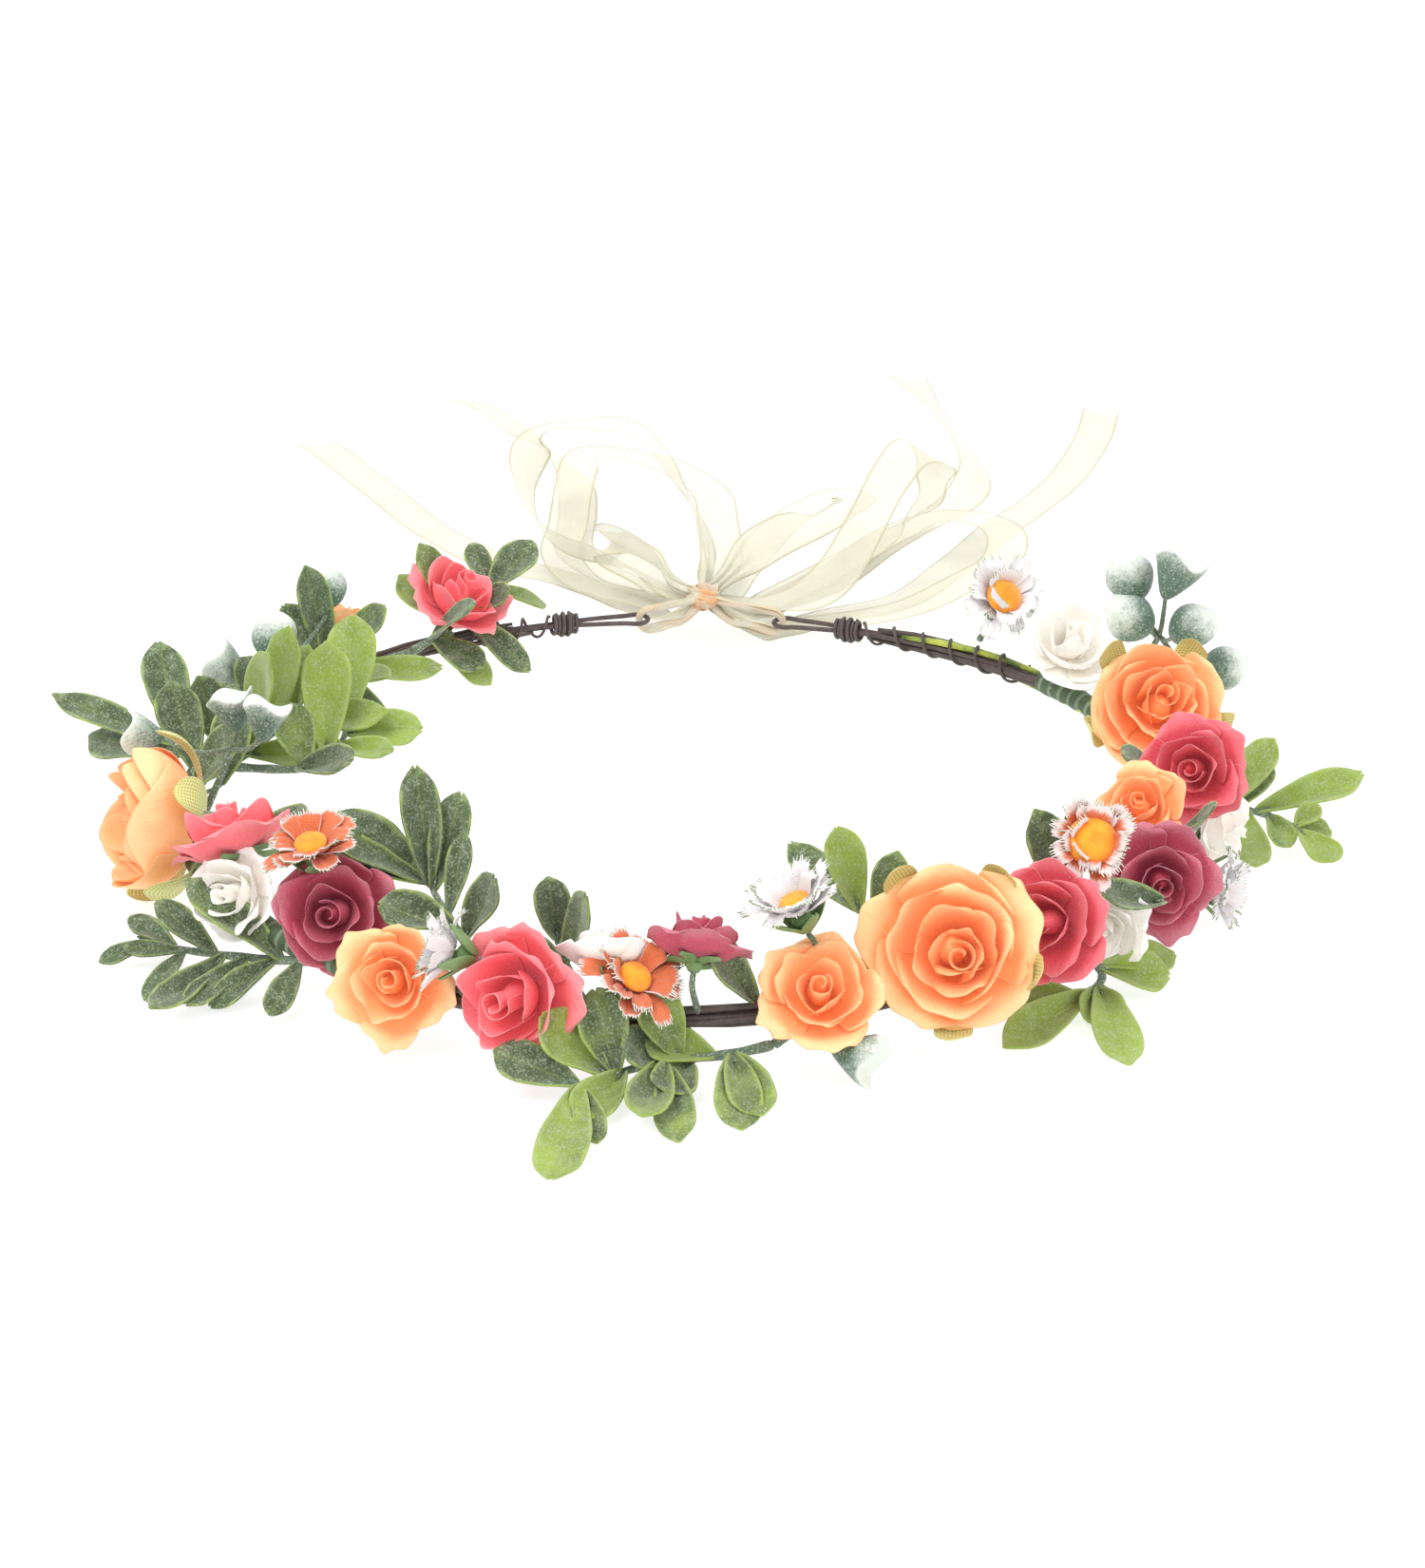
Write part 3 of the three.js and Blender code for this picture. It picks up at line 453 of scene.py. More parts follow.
def direction(heading, rise):
    """The direction of a compass heading from +X and a rise above the horizontal, in degrees."""
    flat = math.cos(math.radians(rise))
    turn = math.radians(heading)
    return Vector((flat * math.cos(turn), flat * math.sin(turn), math.sin(math.radians(rise))))


def on_hoop(degrees, radius, height=HOOP_HEIGHT):
    turn = math.radians(degrees)
    return Vector((radius * math.cos(turn), radius * math.sin(turn), height))


def mix(a, b, share):
    return a + (b - a) * share


def ease(value):
    """0 below 0, 1 above 1, and smooth between."""
    t = min(max(value, 0), 1)
    return t * t * (3 - 2 * t)


def through(rows, share):
    """The numbers at share of the way along a smooth path through rows."""
    last = len(rows) - 1
    span = min(int(share * last), last - 1)
    t = share * last - span
    ends = [rows[min(max(span + step, 0), last)] for step in (-1, 0, 1, 2)]
    return [
        b + 0.5 * t * (c - a + t * (2 * a - 5 * b + 4 * c - d + t * (3 * b - a - 3 * c + d)))
        for a, b, c, d in zip(*ends)
    ]


def smooth_path(rows, pieces):
    """Evenly spaced points on the smooth path through rows of points."""
    fine = [Vector(through(rows, i / (pieces * 8))) for i in range(pieces * 8 + 1)]
    steps = [0]
    for before, after in zip(fine, fine[1:]):
        steps.append(steps[-1] + (after - before).length)
    points = []
    at = 0
    for i in range(pieces + 1):
        goal = steps[-1] * i / pieces
        while at < len(fine) - 2 and steps[at + 1] < goal:
            at += 1
        span = max(steps[at + 1] - steps[at], WELD)
        points.append(fine[at].lerp(fine[at + 1], min((goal - steps[at]) / span, 1)))
    return points


def frames_along(path):
    """A side and a lift direction at each point of path, without twist."""
    last = len(path) - 1
    frames = []
    side = (path[1] - path[0]).orthogonal()
    for i in range(last + 1):
        ahead = (path[min(i + 1, last)] - path[max(i - 1, 0)]).normalized()
        side = (side - ahead * side.dot(ahead)).normalized()
        frames.append((side, ahead.cross(side)))
    return frames


# Shapes


def new_shape():
    """An empty mesh that keeps how far along each point is and the tone of its colour."""
    shape = bmesh.new()
    shape.verts.layers.float.new("tone")
    shape.verts.layers.float.new("along")
    shape.loops.layers.uv.new("UVMap")
    return shape


def paint_verts(shape, verts, tone):
    layer = shape.verts.layers.float["tone"]
    for vert in verts:
        vert[layer] = tone


def faces_of(verts):
    return list(dict.fromkeys(face for vert in verts for face in vert.link_faces))


def patch(shape, columns, rows, place, tone=0.0, material=0):
    """Adds a sheet: place(u, v) is its point at u from -1 to 1 across it and v from 0 to 1 along it."""
    made = bmesh.ops.create_grid(shape, x_segments=columns, y_segments=rows, size=1)["verts"]
    uv = shape.loops.layers.uv["UVMap"]
    along = shape.verts.layers.float["along"]
    for face in faces_of(made):
        face.smooth = True
        face.material_index = material
        for loop in face.loops:
            loop[uv].uv = ((loop.vert.co.x + 1) / 2, (loop.vert.co.y + 1) / 2)
    for vert in made:
        vert[along] = (vert.co.y + 1) / 2
        vert.co = place(vert.co.x, vert[along])
    paint_verts(shape, made, tone)
    return made


def weld(shape, made):
    """Joins a sheet to itself where it meets, caps its open ends and turns its faces outwards."""
    bmesh.ops.remove_doubles(shape, verts=made, dist=WELD)
    left = [vert for vert in made if vert.is_valid]
    rims = dict.fromkeys(edge for vert in left for edge in vert.link_edges if edge.is_boundary)
    material = left[0].link_faces[0].material_index
    for cap in bmesh.ops.holes_fill(shape, edges=list(rims), sides=0)["faces"]:
        cap.smooth = True
        cap.material_index = material
    bmesh.ops.recalc_face_normals(shape, faces=faces_of(left))
    return left


def sweep(shape, path, width, sides=8, tone=0.0, material=0):
    """Adds a closed tube along path, whose radius at v of the way is width(v)."""
    frames = frames_along(path)
    last = len(path) - 1

    def place(u, v):
        step = round(v * last)
        side, lift = frames[step]
        turn = math.pi * u
        return path[step] + (side * math.cos(turn) + lift * math.sin(turn)) * width(v)

    return weld(shape, patch(shape, sides, last, place, tone, material))


def lathe(shape, profile, steps, tone=0.0, material=0):
    """Adds a closed turned form round Z, from the points (distance from the axis, height) of profile."""
    others = set(shape.verts)
    along = shape.verts.layers.float["along"]
    points = []
    for i, (out, high) in enumerate(profile):
        points.append(shape.verts.new((out, 0, high)))
        points[-1][along] = i / (len(profile) - 1)
    edges = [shape.edges.new(pair) for pair in zip(points, points[1:])]
    bmesh.ops.spin(
        shape, geom=points + edges, cent=(0, 0, 0), axis=UP, dvec=(0, 0, 0), angle=2 * math.pi,
        steps=steps, use_merge=True,
    )
    bmesh.ops.remove_doubles(shape, verts=[vert for vert in shape.verts if vert not in others], dist=WELD)
    made = [vert for vert in shape.verts if vert not in others]
    faces = faces_of(made)
    for face in faces:
        face.smooth = True
        face.material_index = material
    bmesh.ops.recalc_face_normals(shape, faces=faces)
    paint_verts(shape, made, tone)
    return made


def facing(middle, ahead, size, spin=0.0):
    """The placing of a form made round Z in units of size: its Z turned to face ahead."""
    turn = ahead.to_track_quat("Z", "Y").to_matrix().to_4x4()
    return Matrix.Translation(middle) @ turn @ Matrix.Rotation(spin, 4, "Z") @ Matrix.Scale(size, 4)


def add_piece(shape, name, node, slot, finishes, thickness=0.0, levels=1):
    """Makes the finished object that stands for a node, rides on its body and has its finish."""
    bmesh.ops.scale(shape, vec=(MM, MM, MM), verts=shape.verts)
    mesh = bpy.data.meshes.new(name)
    shape.to_mesh(mesh)
    shape.free()
    for finish in finishes:
        mesh.materials.append(finish)
    piece = bpy.data.objects.new(name, mesh)
    bpy.context.scene.collection.objects.link(piece)
    if thickness > 0:
        wall = piece.modifiers.new("Thickness", "SOLIDIFY")
        wall.thickness = thickness
        wall.offset = 0
        wall.material_offset_rim = 1
    if levels > 0:
        rounding = piece.modifiers.new("Rounding", "SUBSURF")
        rounding.levels = levels
        rounding.render_levels = levels
    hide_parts(node)
    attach(piece, frame["nodes"][node]["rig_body"])
    return piece


def slot_of(node):
    subparts = frame["record"]["subparts"]
    return next(part["material_slot"] for part in subparts if part["node"] == node)


# Finishes


class Paint:
    """The nodes of one material. An input is a socket to link or a value to set."""

    def __init__(self, name, roughness, **fixed):
        self.material = bpy.data.materials.new(name)
        self.material.use_nodes = True
        self.tree = self.material.node_tree
        self.shader = self.tree.nodes["Principled BSDF"]
        self.shader.inputs["Roughness"].default_value = roughness
        for socket, value in fixed.items():
            self.shader.inputs[socket.replace("_", " ")].default_value = value
        coordinates = self.add("TexCoord")
        self.place = coordinates.outputs["Object"]
        self.uv = coordinates.outputs["UV"]

    def add(self, kind, inputs=None, **settings):
        node = self.tree.nodes.new("ShaderNode" + kind)
        for key, value in settings.items():
            setattr(node, key, value)
        for socket, value in (inputs or {}).items():
            if isinstance(value, bpy.types.NodeSocket):
                self.tree.links.new(value, node.inputs[socket])
            else:
                node.inputs[socket].default_value = value
        return node

    def attribute(self, name):
        return self.add("Attribute", attribute_name=name).outputs["Fac"]

    def noise(self, vector, scale, detail=3.0):
        return self.add("TexNoise", {"Vector": vector, "Scale": scale, "Detail": detail}).outputs["Fac"]

    def stretch(self, vector, scale):
        return self.add("Mapping", {"Vector": vector, "Scale": scale}).outputs["Vector"]

    def bands(self, vector, scale, axis, distortion=0.0):
        inputs = {"Vector": vector, "Scale": scale, "Distortion": distortion, "Detail Scale": 2.0}
        return self.add("TexWave", inputs, bands_direction=axis).outputs["Fac"]

    def math(self, operation, a, b=0.0):
        return self.add("Math", {0: a, 1: b}, operation=operation).outputs[0]

    def fit(self, value, low, high, to_low=0.0, to_high=1.0):
        """value, from low to high, made to run smoothly from to_low to to_high."""
        inputs = {"Value": value, "From Min": low, "From Max": high, "To Min": to_low, "To Max": to_high}
        return self.add("MapRange", inputs, interpolation_type="SMOOTHSTEP").outputs["Result"]

    def mix(self, factor, a, b, blend="MIX"):
        a, b = (value if isinstance(value, bpy.types.NodeSocket) else (*value[:3], 1) for value in (a, b))
        node = self.add("Mix", {0: factor, 6: a, 7: b}, data_type="RGBA", blend_type=blend)
        return node.outputs[2]

    def edge(self):
        """How far a point is from the middle line of its sheet: 0 there and 1 at either side."""
        across = self.add("SeparateXYZ", {0: self.uv}).outputs["X"]
        return self.math("ABSOLUTE", self.math("SUBTRACT", self.math("MULTIPLY", across, 2.0), 1.0))

    def bump(self, height, depth, normal=None):
        """A relief of depth millimetres."""
        inputs = {"Height": height, "Distance": depth * MM, "Strength": 1.0}
        if normal is not None:
            inputs["Normal"] = normal
        return self.add("Bump", inputs).outputs["Normal"]

    def finish(self, color, normal=None, alpha=None):
        self.tree.links.new(color, self.shader.inputs["Base Color"])
        for socket, value in (("Normal", normal), ("Alpha", alpha)):
            if value is not None:
                self.tree.links.new(value, self.shader.inputs[socket])
        return self.material


def shade(color, factor):
    return tuple(min(part * factor, 1) for part in color)


def blend(a, b, share):
    return tuple(mix(x, y, share) for x, y in zip(a, b))


WHITE = (1, 1, 1)
# Dyed papers: (how dark the core is, which is partly the paper's own deeper colour and partly painted shade
# deep in the flower, how far the rim and then the cut edge are paled to white).
DYED_PAPERS = {"coral": (0.7, 0.1, 0.3), "deep_coral": (0.62, 0.08, 0.22), "burgundy": (0.55, 0.1, 0.2)}
made_finishes = {}


def finish(name):
    """The material of that name, made the first time it is asked for."""
    if name not in made_finishes:
        made_finishes[name] = FINISHES[name](name, bpy.context.scene.crown_colours)
    return made_finishes[name]


def petal_finish(name, core, body, rim, grain):
    """Petal paper: darker in the core, partly the paper's own deeper colour and partly painted shade deep in
    the flower, paler at the rim, with fibres, blotches and fine creases, and a faint painted glow of its own
    colour.
    """
    # Painted glow: a faint emission of the petal's own colour brightens the paper as if more light fell on
    # it.
    glow = dict(Emission_Color=(*body, 1), Emission_Strength=0.1)
    paint = Paint(name, 0.72, Sheen_Weight=0.15, Specular_IOR_Level=0.3, **glow)
    along = paint.attribute("along")
    tone = paint.attribute("tone")
    blotch = paint.noise(paint.place, 170)
    reach = paint.math("ADD", along, paint.math("MULTIPLY", paint.math("SUBTRACT", blotch, 0.5), 0.45))
    depth = paint.math("MULTIPLY", reach, paint.math("ADD", paint.math("MULTIPLY", tone, 0.5), 0.62))
    # Partly painted shade: the core colour darkens the feet of the petals and the inner rings, where the
    # heart of the flower lies in shade; the rest is the paper's own deeper colour.
    color = paint.mix(paint.fit(depth, 0.08, 0.55), core, body)
    color = paint.mix(paint.fit(depth, 0.62, 1.05), color, rim)
    fibres = paint.noise(paint.stretch(paint.place, (1.0, 1.0, 2.2)), 1900, 5)
    color = paint.mix(paint.fit(fibres, 0.35, 0.75, 0.0, grain), color, WHITE, "SOFT_LIGHT")
    creases = paint.noise(paint.stretch(paint.uv, (26.0, 3.0, 1.0)), 1.0, 4)
    relief = paint.bump(creases, 0.22)
    relief = paint.bump(fibres, 0.05, relief)
    return paint.finish(color, relief)


def edge_finish(name, color):
    """The cut edge of a sheet, with a slight unevenness."""
    paint = Paint(name, 0.8)
    fibres = paint.noise(paint.place, 1500, 4)
    return paint.finish(paint.mix(fibres, shade(color, 0.86), color), paint.bump(fibres, 0.04))


def dyed_paper(name, colours):
    body = getattr(colours, name)
    core, rim, _ = DYED_PAPERS[name]
    return petal_finish(name, shade(body, core), body, blend(body, WHITE, rim), 0.4)


def dyed_edge(name, colours):
    paper = name.removesuffix("_edge")
    return edge_finish(name, blend(getattr(colours, paper), WHITE, DYED_PAPERS[paper][2]))


def orange_paper(name, colours):
    body = colours.orange
    return petal_finish(name, tint("f98f48"), body, tint("ffce98"), 0.2)


def orange_edge(name, _):
    return edge_finish(name, tint("ffc890"))


def white_paper(name, colours):
    body = colours.white
    return petal_finish(name, tint("e4ddcb"), body, tint("fdfbf7"), 0.1)


def white_edge(name, _):
    return edge_finish(name, tint("faf7f1"))


def cloth_finish(name, inner, outer, start, depth):
    """Woven petal cloth: threads both ways with painted shade between them, inner colour near the heart and
    outer from start outwards, and painted shade at the foot of each petal; depth is how strong the painted
    shade is.
    """
    paint = Paint(name, 0.9, Sheen_Weight=0.3, Specular_IOR_Level=0.2)
    along = paint.attribute("along")
    ragged = paint.noise(paint.stretch(paint.uv, (14.0, 3.0, 1.0)), 1.0, 3)
    reach = paint.math("ADD", along, paint.math("MULTIPLY", paint.math("SUBTRACT", ragged, 0.5), 0.35))
    warp = paint.bands(paint.uv, 4.2, "X", 0.6)
    weft = paint.bands(paint.uv, 6.4, "Y", 0.6)
    threads = paint.math("MULTIPLY", warp, weft)
    color = paint.mix(paint.fit(reach, start - 0.08, start + 0.08), inner, outer)
    color = paint.mix(paint.fit(threads, 0.5, 0.9, 0.0, 0.4), color, blend(inner, WHITE, 0.5))
    # Painted shade in the gaps between the threads.
    shadow = paint.fit(threads, 0.0, 0.4, depth, 0.0)
    color = paint.mix(shadow, color, shade(inner, 0.62))
    # Painted shade at the foot of each petal, where it meets the heart.
    foot = paint.fit(along, 0.0, 0.45, depth, 0.0)
    color = paint.mix(foot, color, shade(inner, 0.55))
    return paint.finish(color, paint.bump(threads, 0.12))


def cloth_orange(name, colours):
    return cloth_finish(name, colours.cloth_orange, blend(colours.cloth_orange, WHITE, 0.6), 0.96, 0.35)


def cloth_mixed(name, colours):
    return cloth_finish(name, colours.cloth_orange, tint("fbf3f2"), 0.78, 0.25)


def cloth_white(name, _):
    return cloth_finish(name, tint("f3eff1"), tint("faf8fa"), 0.5, 0.2)


def thread_edge(name, _):
    return edge_finish(name, tint("f9f1f0"))


def heart_pile(name, colours):
    """The flocked middle of a daisy."""
    paint = Paint(name, 0.75, Sheen_Weight=0.3)
    pile = paint.noise(paint.place, 2600, 4)
    glow = paint.noise(paint.place, 320)
    color = paint.mix(paint.fit(glow, 0.3, 0.7), tint("f28c10"), colours.heart)
    color = paint.mix(paint.fit(pile, 0.5, 0.75, 0.0, 0.4), color, tint("ffd35a"))
    return paint.finish(color, paint.bump(pile, 0.15))


def plastic_sepal(name, colours):
    """Thin green plastic with a light dusting."""
    paint = Paint(name, 0.55)
    blotch = paint.noise(paint.place, 260)
    grain = paint.noise(paint.place, 1800, 4)
    color = paint.mix(blotch, shade(colours.sepal, 0.6), blend(colours.sepal, WHITE, 0.12))
    color = paint.mix(paint.fit(grain, 0.6, 0.75, 0.0, 0.3), color, tint("c8d6ae"))
    return paint.finish(color, paint.bump(grain, 0.05))


def mesh_sepal(name, colours):
    """Woven mesh: close parallel threads with painted shade in the darker gaps between them."""
    paint = Paint(name, 0.6, Sheen_Weight=0.2)
    warp = paint.bands(paint.uv, 3.4, "X", 0.2)
    weft = paint.bands(paint.uv, 8.0, "Y", 0.2)
    threads = paint.math("MAXIMUM", paint.math("MULTIPLY", warp, 0.8), weft)
    # Painted shade: the gaps between the threads are a darker copy of the mesh colour.
    shaded_gap, thread = shade(colours.mesh, 0.66), blend(colours.mesh, WHITE, 0.25)
    color = paint.mix(paint.fit(threads, 0.25, 0.75), shaded_gap, thread)
    return paint.finish(color, paint.bump(threads, 0.1))


def leaf_flock(name, colours):
    """Flocked leaf: frosted green with an irregular lime margin; tone 1 is a leaf that is lime all over."""
    paint = Paint(name, 0.85, Sheen_Weight=0.35, Specular_IOR_Level=0.2)
    tone = paint.attribute("tone")
    along = paint.attribute("along")
    side = paint.edge()
    ragged = paint.noise(paint.stretch(paint.uv, (3.0, 6.0, 1.0)), 1.0, 4)
    rim = paint.math("ADD", side, paint.math("MULTIPLY", paint.math("SUBTRACT", ragged, 0.5), 0.6))
    tip = paint.math("ADD", along, paint.math("MULTIPLY", paint.math("SUBTRACT", ragged, 0.5), 0.5))
    margin = paint.math("MAXIMUM", paint.fit(rim, 0.78, 1.08), paint.fit(tip, 0.9, 1.15))
    clouds = paint.noise(paint.place, 110)
    body = paint.mix(paint.fit(clouds, 0.3, 0.7), shade(colours.green, 0.72), colours.green)
    lime = paint.mix(paint.fit(clouds, 0.3, 0.7), shade(colours.lime, 0.8), colours.lime)
    patchy = paint.math("ADD", tone, paint.math("MULTIPLY", paint.math("SUBTRACT", clouds, 0.5), 0.7))
    color = paint.mix(paint.fit(patchy, 0.35, 0.85), body, lime)
    color = paint.mix(margin, color, blend(colours.lime, WHITE, 0.08))
    vein = paint.fit(side, 0.02, 0.12, 0.35, 0.0)
    color = paint.mix(vein, color, blend(colours.lime, colours.green, 0.4))
    flock = paint.noise(paint.place, 2300, 2)
    powder = paint.noise(paint.place, 420, 3)
    frost = paint.math("MULTIPLY", paint.fit(flock, 0.5, 0.68), paint.fit(powder, 0.3, 0.7, 0.55, 0.9))
    frost = paint.math("MULTIPLY", frost, paint.fit(margin, 0.0, 1.0, 0.6, 0.25))
    color = paint.mix(frost, color, tint("bac7b0"))
    bloom = paint.math("MULTIPLY", paint.fit(powder, 0.4, 0.7), 0.16)
    color = paint.mix(bloom, color, tint("b4c0a8"))
    return paint.finish(color, paint.bump(flock, 0.1))


def leaf_edge(name, colours):
    """The rim of a leaf: lime in places and as green as the leaf in others."""
    paint = Paint(name, 0.85, Sheen_Weight=0.35)
    ragged = paint.noise(paint.place, 260)
    grain = paint.noise(paint.place, 2300, 2)
    patchy = paint.math("ADD", ragged, paint.math("MULTIPLY", paint.attribute("tone"), 0.4))
    color = paint.mix(paint.fit(patchy, 0.48, 0.78), colours.green, colours.lime)
    color = paint.mix(paint.fit(grain, 0.5, 0.7, 0.0, 0.4), color, tint("b4c0a2"))
    return paint.finish(color, paint.bump(grain, 0.08))


def stem_flock(name, colours):
    """Frosted grey-green stem."""
    paint = Paint(name, 0.85, Sheen_Weight=0.3)
    clouds = paint.noise(paint.place, 240)
    flock = paint.noise(paint.place, 2300, 2)
    color = paint.mix(clouds, shade(colours.stem, 0.6), colours.stem)
    color = paint.mix(paint.fit(flock, 0.52, 0.7, 0.0, 0.7), color, tint("cdd8c6"))
    return paint.finish(color, paint.bump(flock, 0.1))


def bud_frost(name, colours):
    """Bud: speckled blue-green at the foot, fading to frosty white at the tip and inside."""
    paint = Paint(name, 0.6, Sheen_Weight=0.2)
    along = paint.attribute("along")
    clouds = paint.noise(paint.place, 300)
    reach = paint.math("ADD", along, paint.math("MULTIPLY", paint.math("SUBTRACT", clouds, 0.5), 0.35))
    reach = paint.math("ADD", reach, paint.math("MULTIPLY", paint.attribute("tone"), 0.25))
    color = paint.mix(paint.fit(reach, 0.34, 0.74), colours.bud, tint("dde4da"))
    specks = paint.noise(paint.place, 2400, 2)
    color = paint.mix(paint.fit(specks, 0.55, 0.7, 0.0, 0.6), color, tint("e4ebe2"))
    dark = paint.noise(paint.place, 1700, 2)
    dust = paint.math("MULTIPLY", paint.fit(dark, 0.5, 0.65), paint.fit(reach, 0.4, 0.8, 0.6, 0.0))
    color = paint.mix(dust, color, tint("33504a"))
    return paint.finish(color, paint.bump(specks, 0.06))


def covered_wire(name, colours):
    """Brown paper wound round the wire."""
    paint = Paint(name, 0.7)
    clouds = paint.noise(paint.place, 500)
    fibres = paint.noise(paint.place, 2500, 4)
    color = paint.mix(clouds, shade(colours.wire, 0.55), blend(colours.wire, WHITE, 0.08))
    color = paint.mix(paint.fit(fibres, 0.55, 0.75, 0.0, 0.35), color, tint("8a7468"))
    return paint.finish(color, paint.bump(fibres, 0.08))


def plastic_stem(name, _):
    """Yellow-green plastic stem, streaked along its length."""
    paint = Paint(name, 0.45)
    clouds = paint.noise(paint.place, 220)
    color = paint.mix(paint.fit(clouds, 0.35, 0.65), tint("54692c"), tint("b9c24a"))
    grain = paint.noise(paint.place, 1600, 3)
    return paint.finish(color, paint.bump(grain, 0.05))


def floral_tape(name, _):
    """Waxed green tape, wound on a slant, paler on the ridges of the turns."""
    paint = Paint(name, 0.6)
    turns = paint.bands(paint.stretch(paint.uv, (0.35, 30.0, 1.0)), 1.0, "DIAGONAL", 1.5)
    clouds = paint.noise(paint.place, 420)
    color = paint.mix(clouds, tint("31402d"), tint("5c7350"))
    color = paint.mix(paint.fit(turns, 0.6, 1.0, 0.0, 0.45), color, tint("a3b39a"))
    return paint.finish(color, paint.bump(turns, 0.2))


def sheer_ribbon(name, colours):
    """Sheer ribbon: a fine open weave between two closer selvedges; tone 1 is the knot, with warm orange
    patches.
    """
    paint = Paint(name, 0.5, Sheen_Weight=0.25)
    side = paint.edge()
    selvedge = paint.fit(side, 0.86, 0.95)
    warp = paint.bands(paint.uv, 9.0, "X", 0.2)
    cloud = paint.noise(paint.place, 90)
    color = paint.mix(paint.fit(cloud, 0.3, 0.7), shade(colours.ribbon, 0.93), colours.ribbon)
    color = paint.mix(paint.math("MULTIPLY", selvedge, 0.7), color, tint("c4bd92"))
    color = paint.mix(paint.math("MULTIPLY", warp, 0.12), color, tint("dcd6b4"))
    spots = paint.fit(paint.noise(paint.place, 260), 0.35, 0.6)
    # Warm orange patches where tone is high, on the knot and the links.
    warm_patches = paint.math("MULTIPLY", paint.attribute("tone"), spots)
    color = paint.mix(warm_patches, color, tint("f4a75a"))
    cover = paint.math("ADD", paint.math("MULTIPLY", selvedge, 0.38), 0.48)
    cover = paint.math("ADD", cover, paint.math("MULTIPLY", paint.attribute("tone"), 0.3))
    return paint.finish(color, paint.bump(warp, 0.03), alpha=cover)


def studio_floor(name, _):
    """Plain pale floor."""
    paint = Paint(name, 0.9, Emission_Color=(1, 1, 1, 1), Emission_Strength=0.7)
    grain = paint.noise(paint.place, 300)
    return paint.finish(paint.mix(grain, (0.48, 0.48, 0.48), (0.52, 0.52, 0.52)))


FINISHES = {
    "coral": dyed_paper,
    "coral_edge": dyed_edge,
    "deep_coral": dyed_paper,
    "deep_coral_edge": dyed_edge,
    "burgundy": dyed_paper,
    "burgundy_edge": dyed_edge,
    "orange": orange_paper,
    "orange_edge": orange_edge,
    "white": white_paper,
    "white_edge": white_edge,
    "cloth_orange": cloth_orange,
    "cloth_mixed": cloth_mixed,
    "cloth_white": cloth_white,
    "thread_edge": thread_edge,
    "heart": heart_pile,
    "sepal": plastic_sepal,
    "mesh_sepal": mesh_sepal,
    "leaf": leaf_flock,
    "leaf_edge": leaf_edge,
    "stem": stem_flock,
    "bud": bud_frost,
    "wire": covered_wire,
    "plastic_stem": plastic_stem,
    "tape": floral_tape,
    "ribbon": sheer_ribbon,
    "floor": studio_floor,
}


# Roses


def curve_at(line, t):
    """The point of a cubic curve through its four handles at t, and the direction across it there."""
    a, b, c, d = line
    s = 1 - t
    ahead = ((b - a) * (s * s) + (c - b) * (2 * s * t) + (d - c) * (t * t)).normalized()
    return a * s**3 + b * (3 * s * s * t) + c * (3 * s * t * t) + d * t**3, Vector((-ahead.y, ahead.x))


def cupped_petal(turn, width, wrap, reach, rim, curl, point, seed):
    """A petal in head radii, from the calyx out to reach and up to rim; its edge curls outwards."""
    line = [
        Vector((0.06, -0.5)), Vector((0.74 * reach, -0.6)),
        Vector((1.08 * reach, 0.35 * rim - 0.28)), Vector((reach, rim)),
    ]
    radial = Vector((math.cos(turn), math.sin(turn), 0))
    tangent = UP.cross(radial)
    swirl = 0.07 * reach

    def place(u, v):
        aside = abs(u)
        tip = v * (1 - 0.20 * aside**2.2) + point * v**4 * max(0, 1 - 2.5 * aside)
        base, inward = curve_at(line, tip)
        half = width * (0.26 + 0.74 * math.sin(min(1, 1.25 * v) * math.pi / 2))
        half *= 1 - 0.44 * max(0, v - 0.58) ** 2 / 0.176
        bent = half * u / wrap
        base = base + inward * (wrap * (1 - math.cos(bent)))
        rolled = max(0, tip - 0.58) / 0.42
        corner = max(0, aside - 0.45) / 0.55
        out = curl * (rolled**2 + 0.6 * corner**2 * v**3)
        crumple = noise.noise(Vector((1.3 * u, 1.6 * v, seed))) * 0.17 * v
        wave = 0.02 * math.sin(3.5 * u + seed) * v**3
        distance = base.x + out + swirl * u * v + crumple * 0.7
        height = base.y - 0.7 * out + wave + crumple * 0.4
        return radial * distance + tangent * (wrap * math.sin(bent)) + UP * height

    return place


def rolled_heart(turns, reach, height, start):
    """The tightly rolled strip in the middle of a rose, in head radii."""

    def place(u, v):
        share = (u + 1) / 2
        turn = start + 2 * math.pi * turns * share
        distance = 0.03 + reach * share**0.8 + 0.05 * v**3
        top = height - 0.10 * share + 0.03 * math.sin(3 * turn)
        return Vector((distance * math.cos(turn), distance * math.sin(turn), mix(-0.3, top, v)))

    return place


def pointed_sepal(turn, reach, drop, width, seed):
    """A narrow pointed leaflet under a flower, in head radii."""

    def place(u, v):
        half = width * math.sin(math.pi * (0.12 + 0.86 * v)) ** 0.8 * (1 - 0.4 * v)
        out = mix(0.1, reach, v)
        high = -0.68 + drop * v + 0.10 * u * u + 0.04 * math.sin(4 * v + seed)
        side = half * u
        c, s = math.cos(turn), math.sin(turn)
        return Vector((out * c - side * s, out * s + side * c, high))

    return place


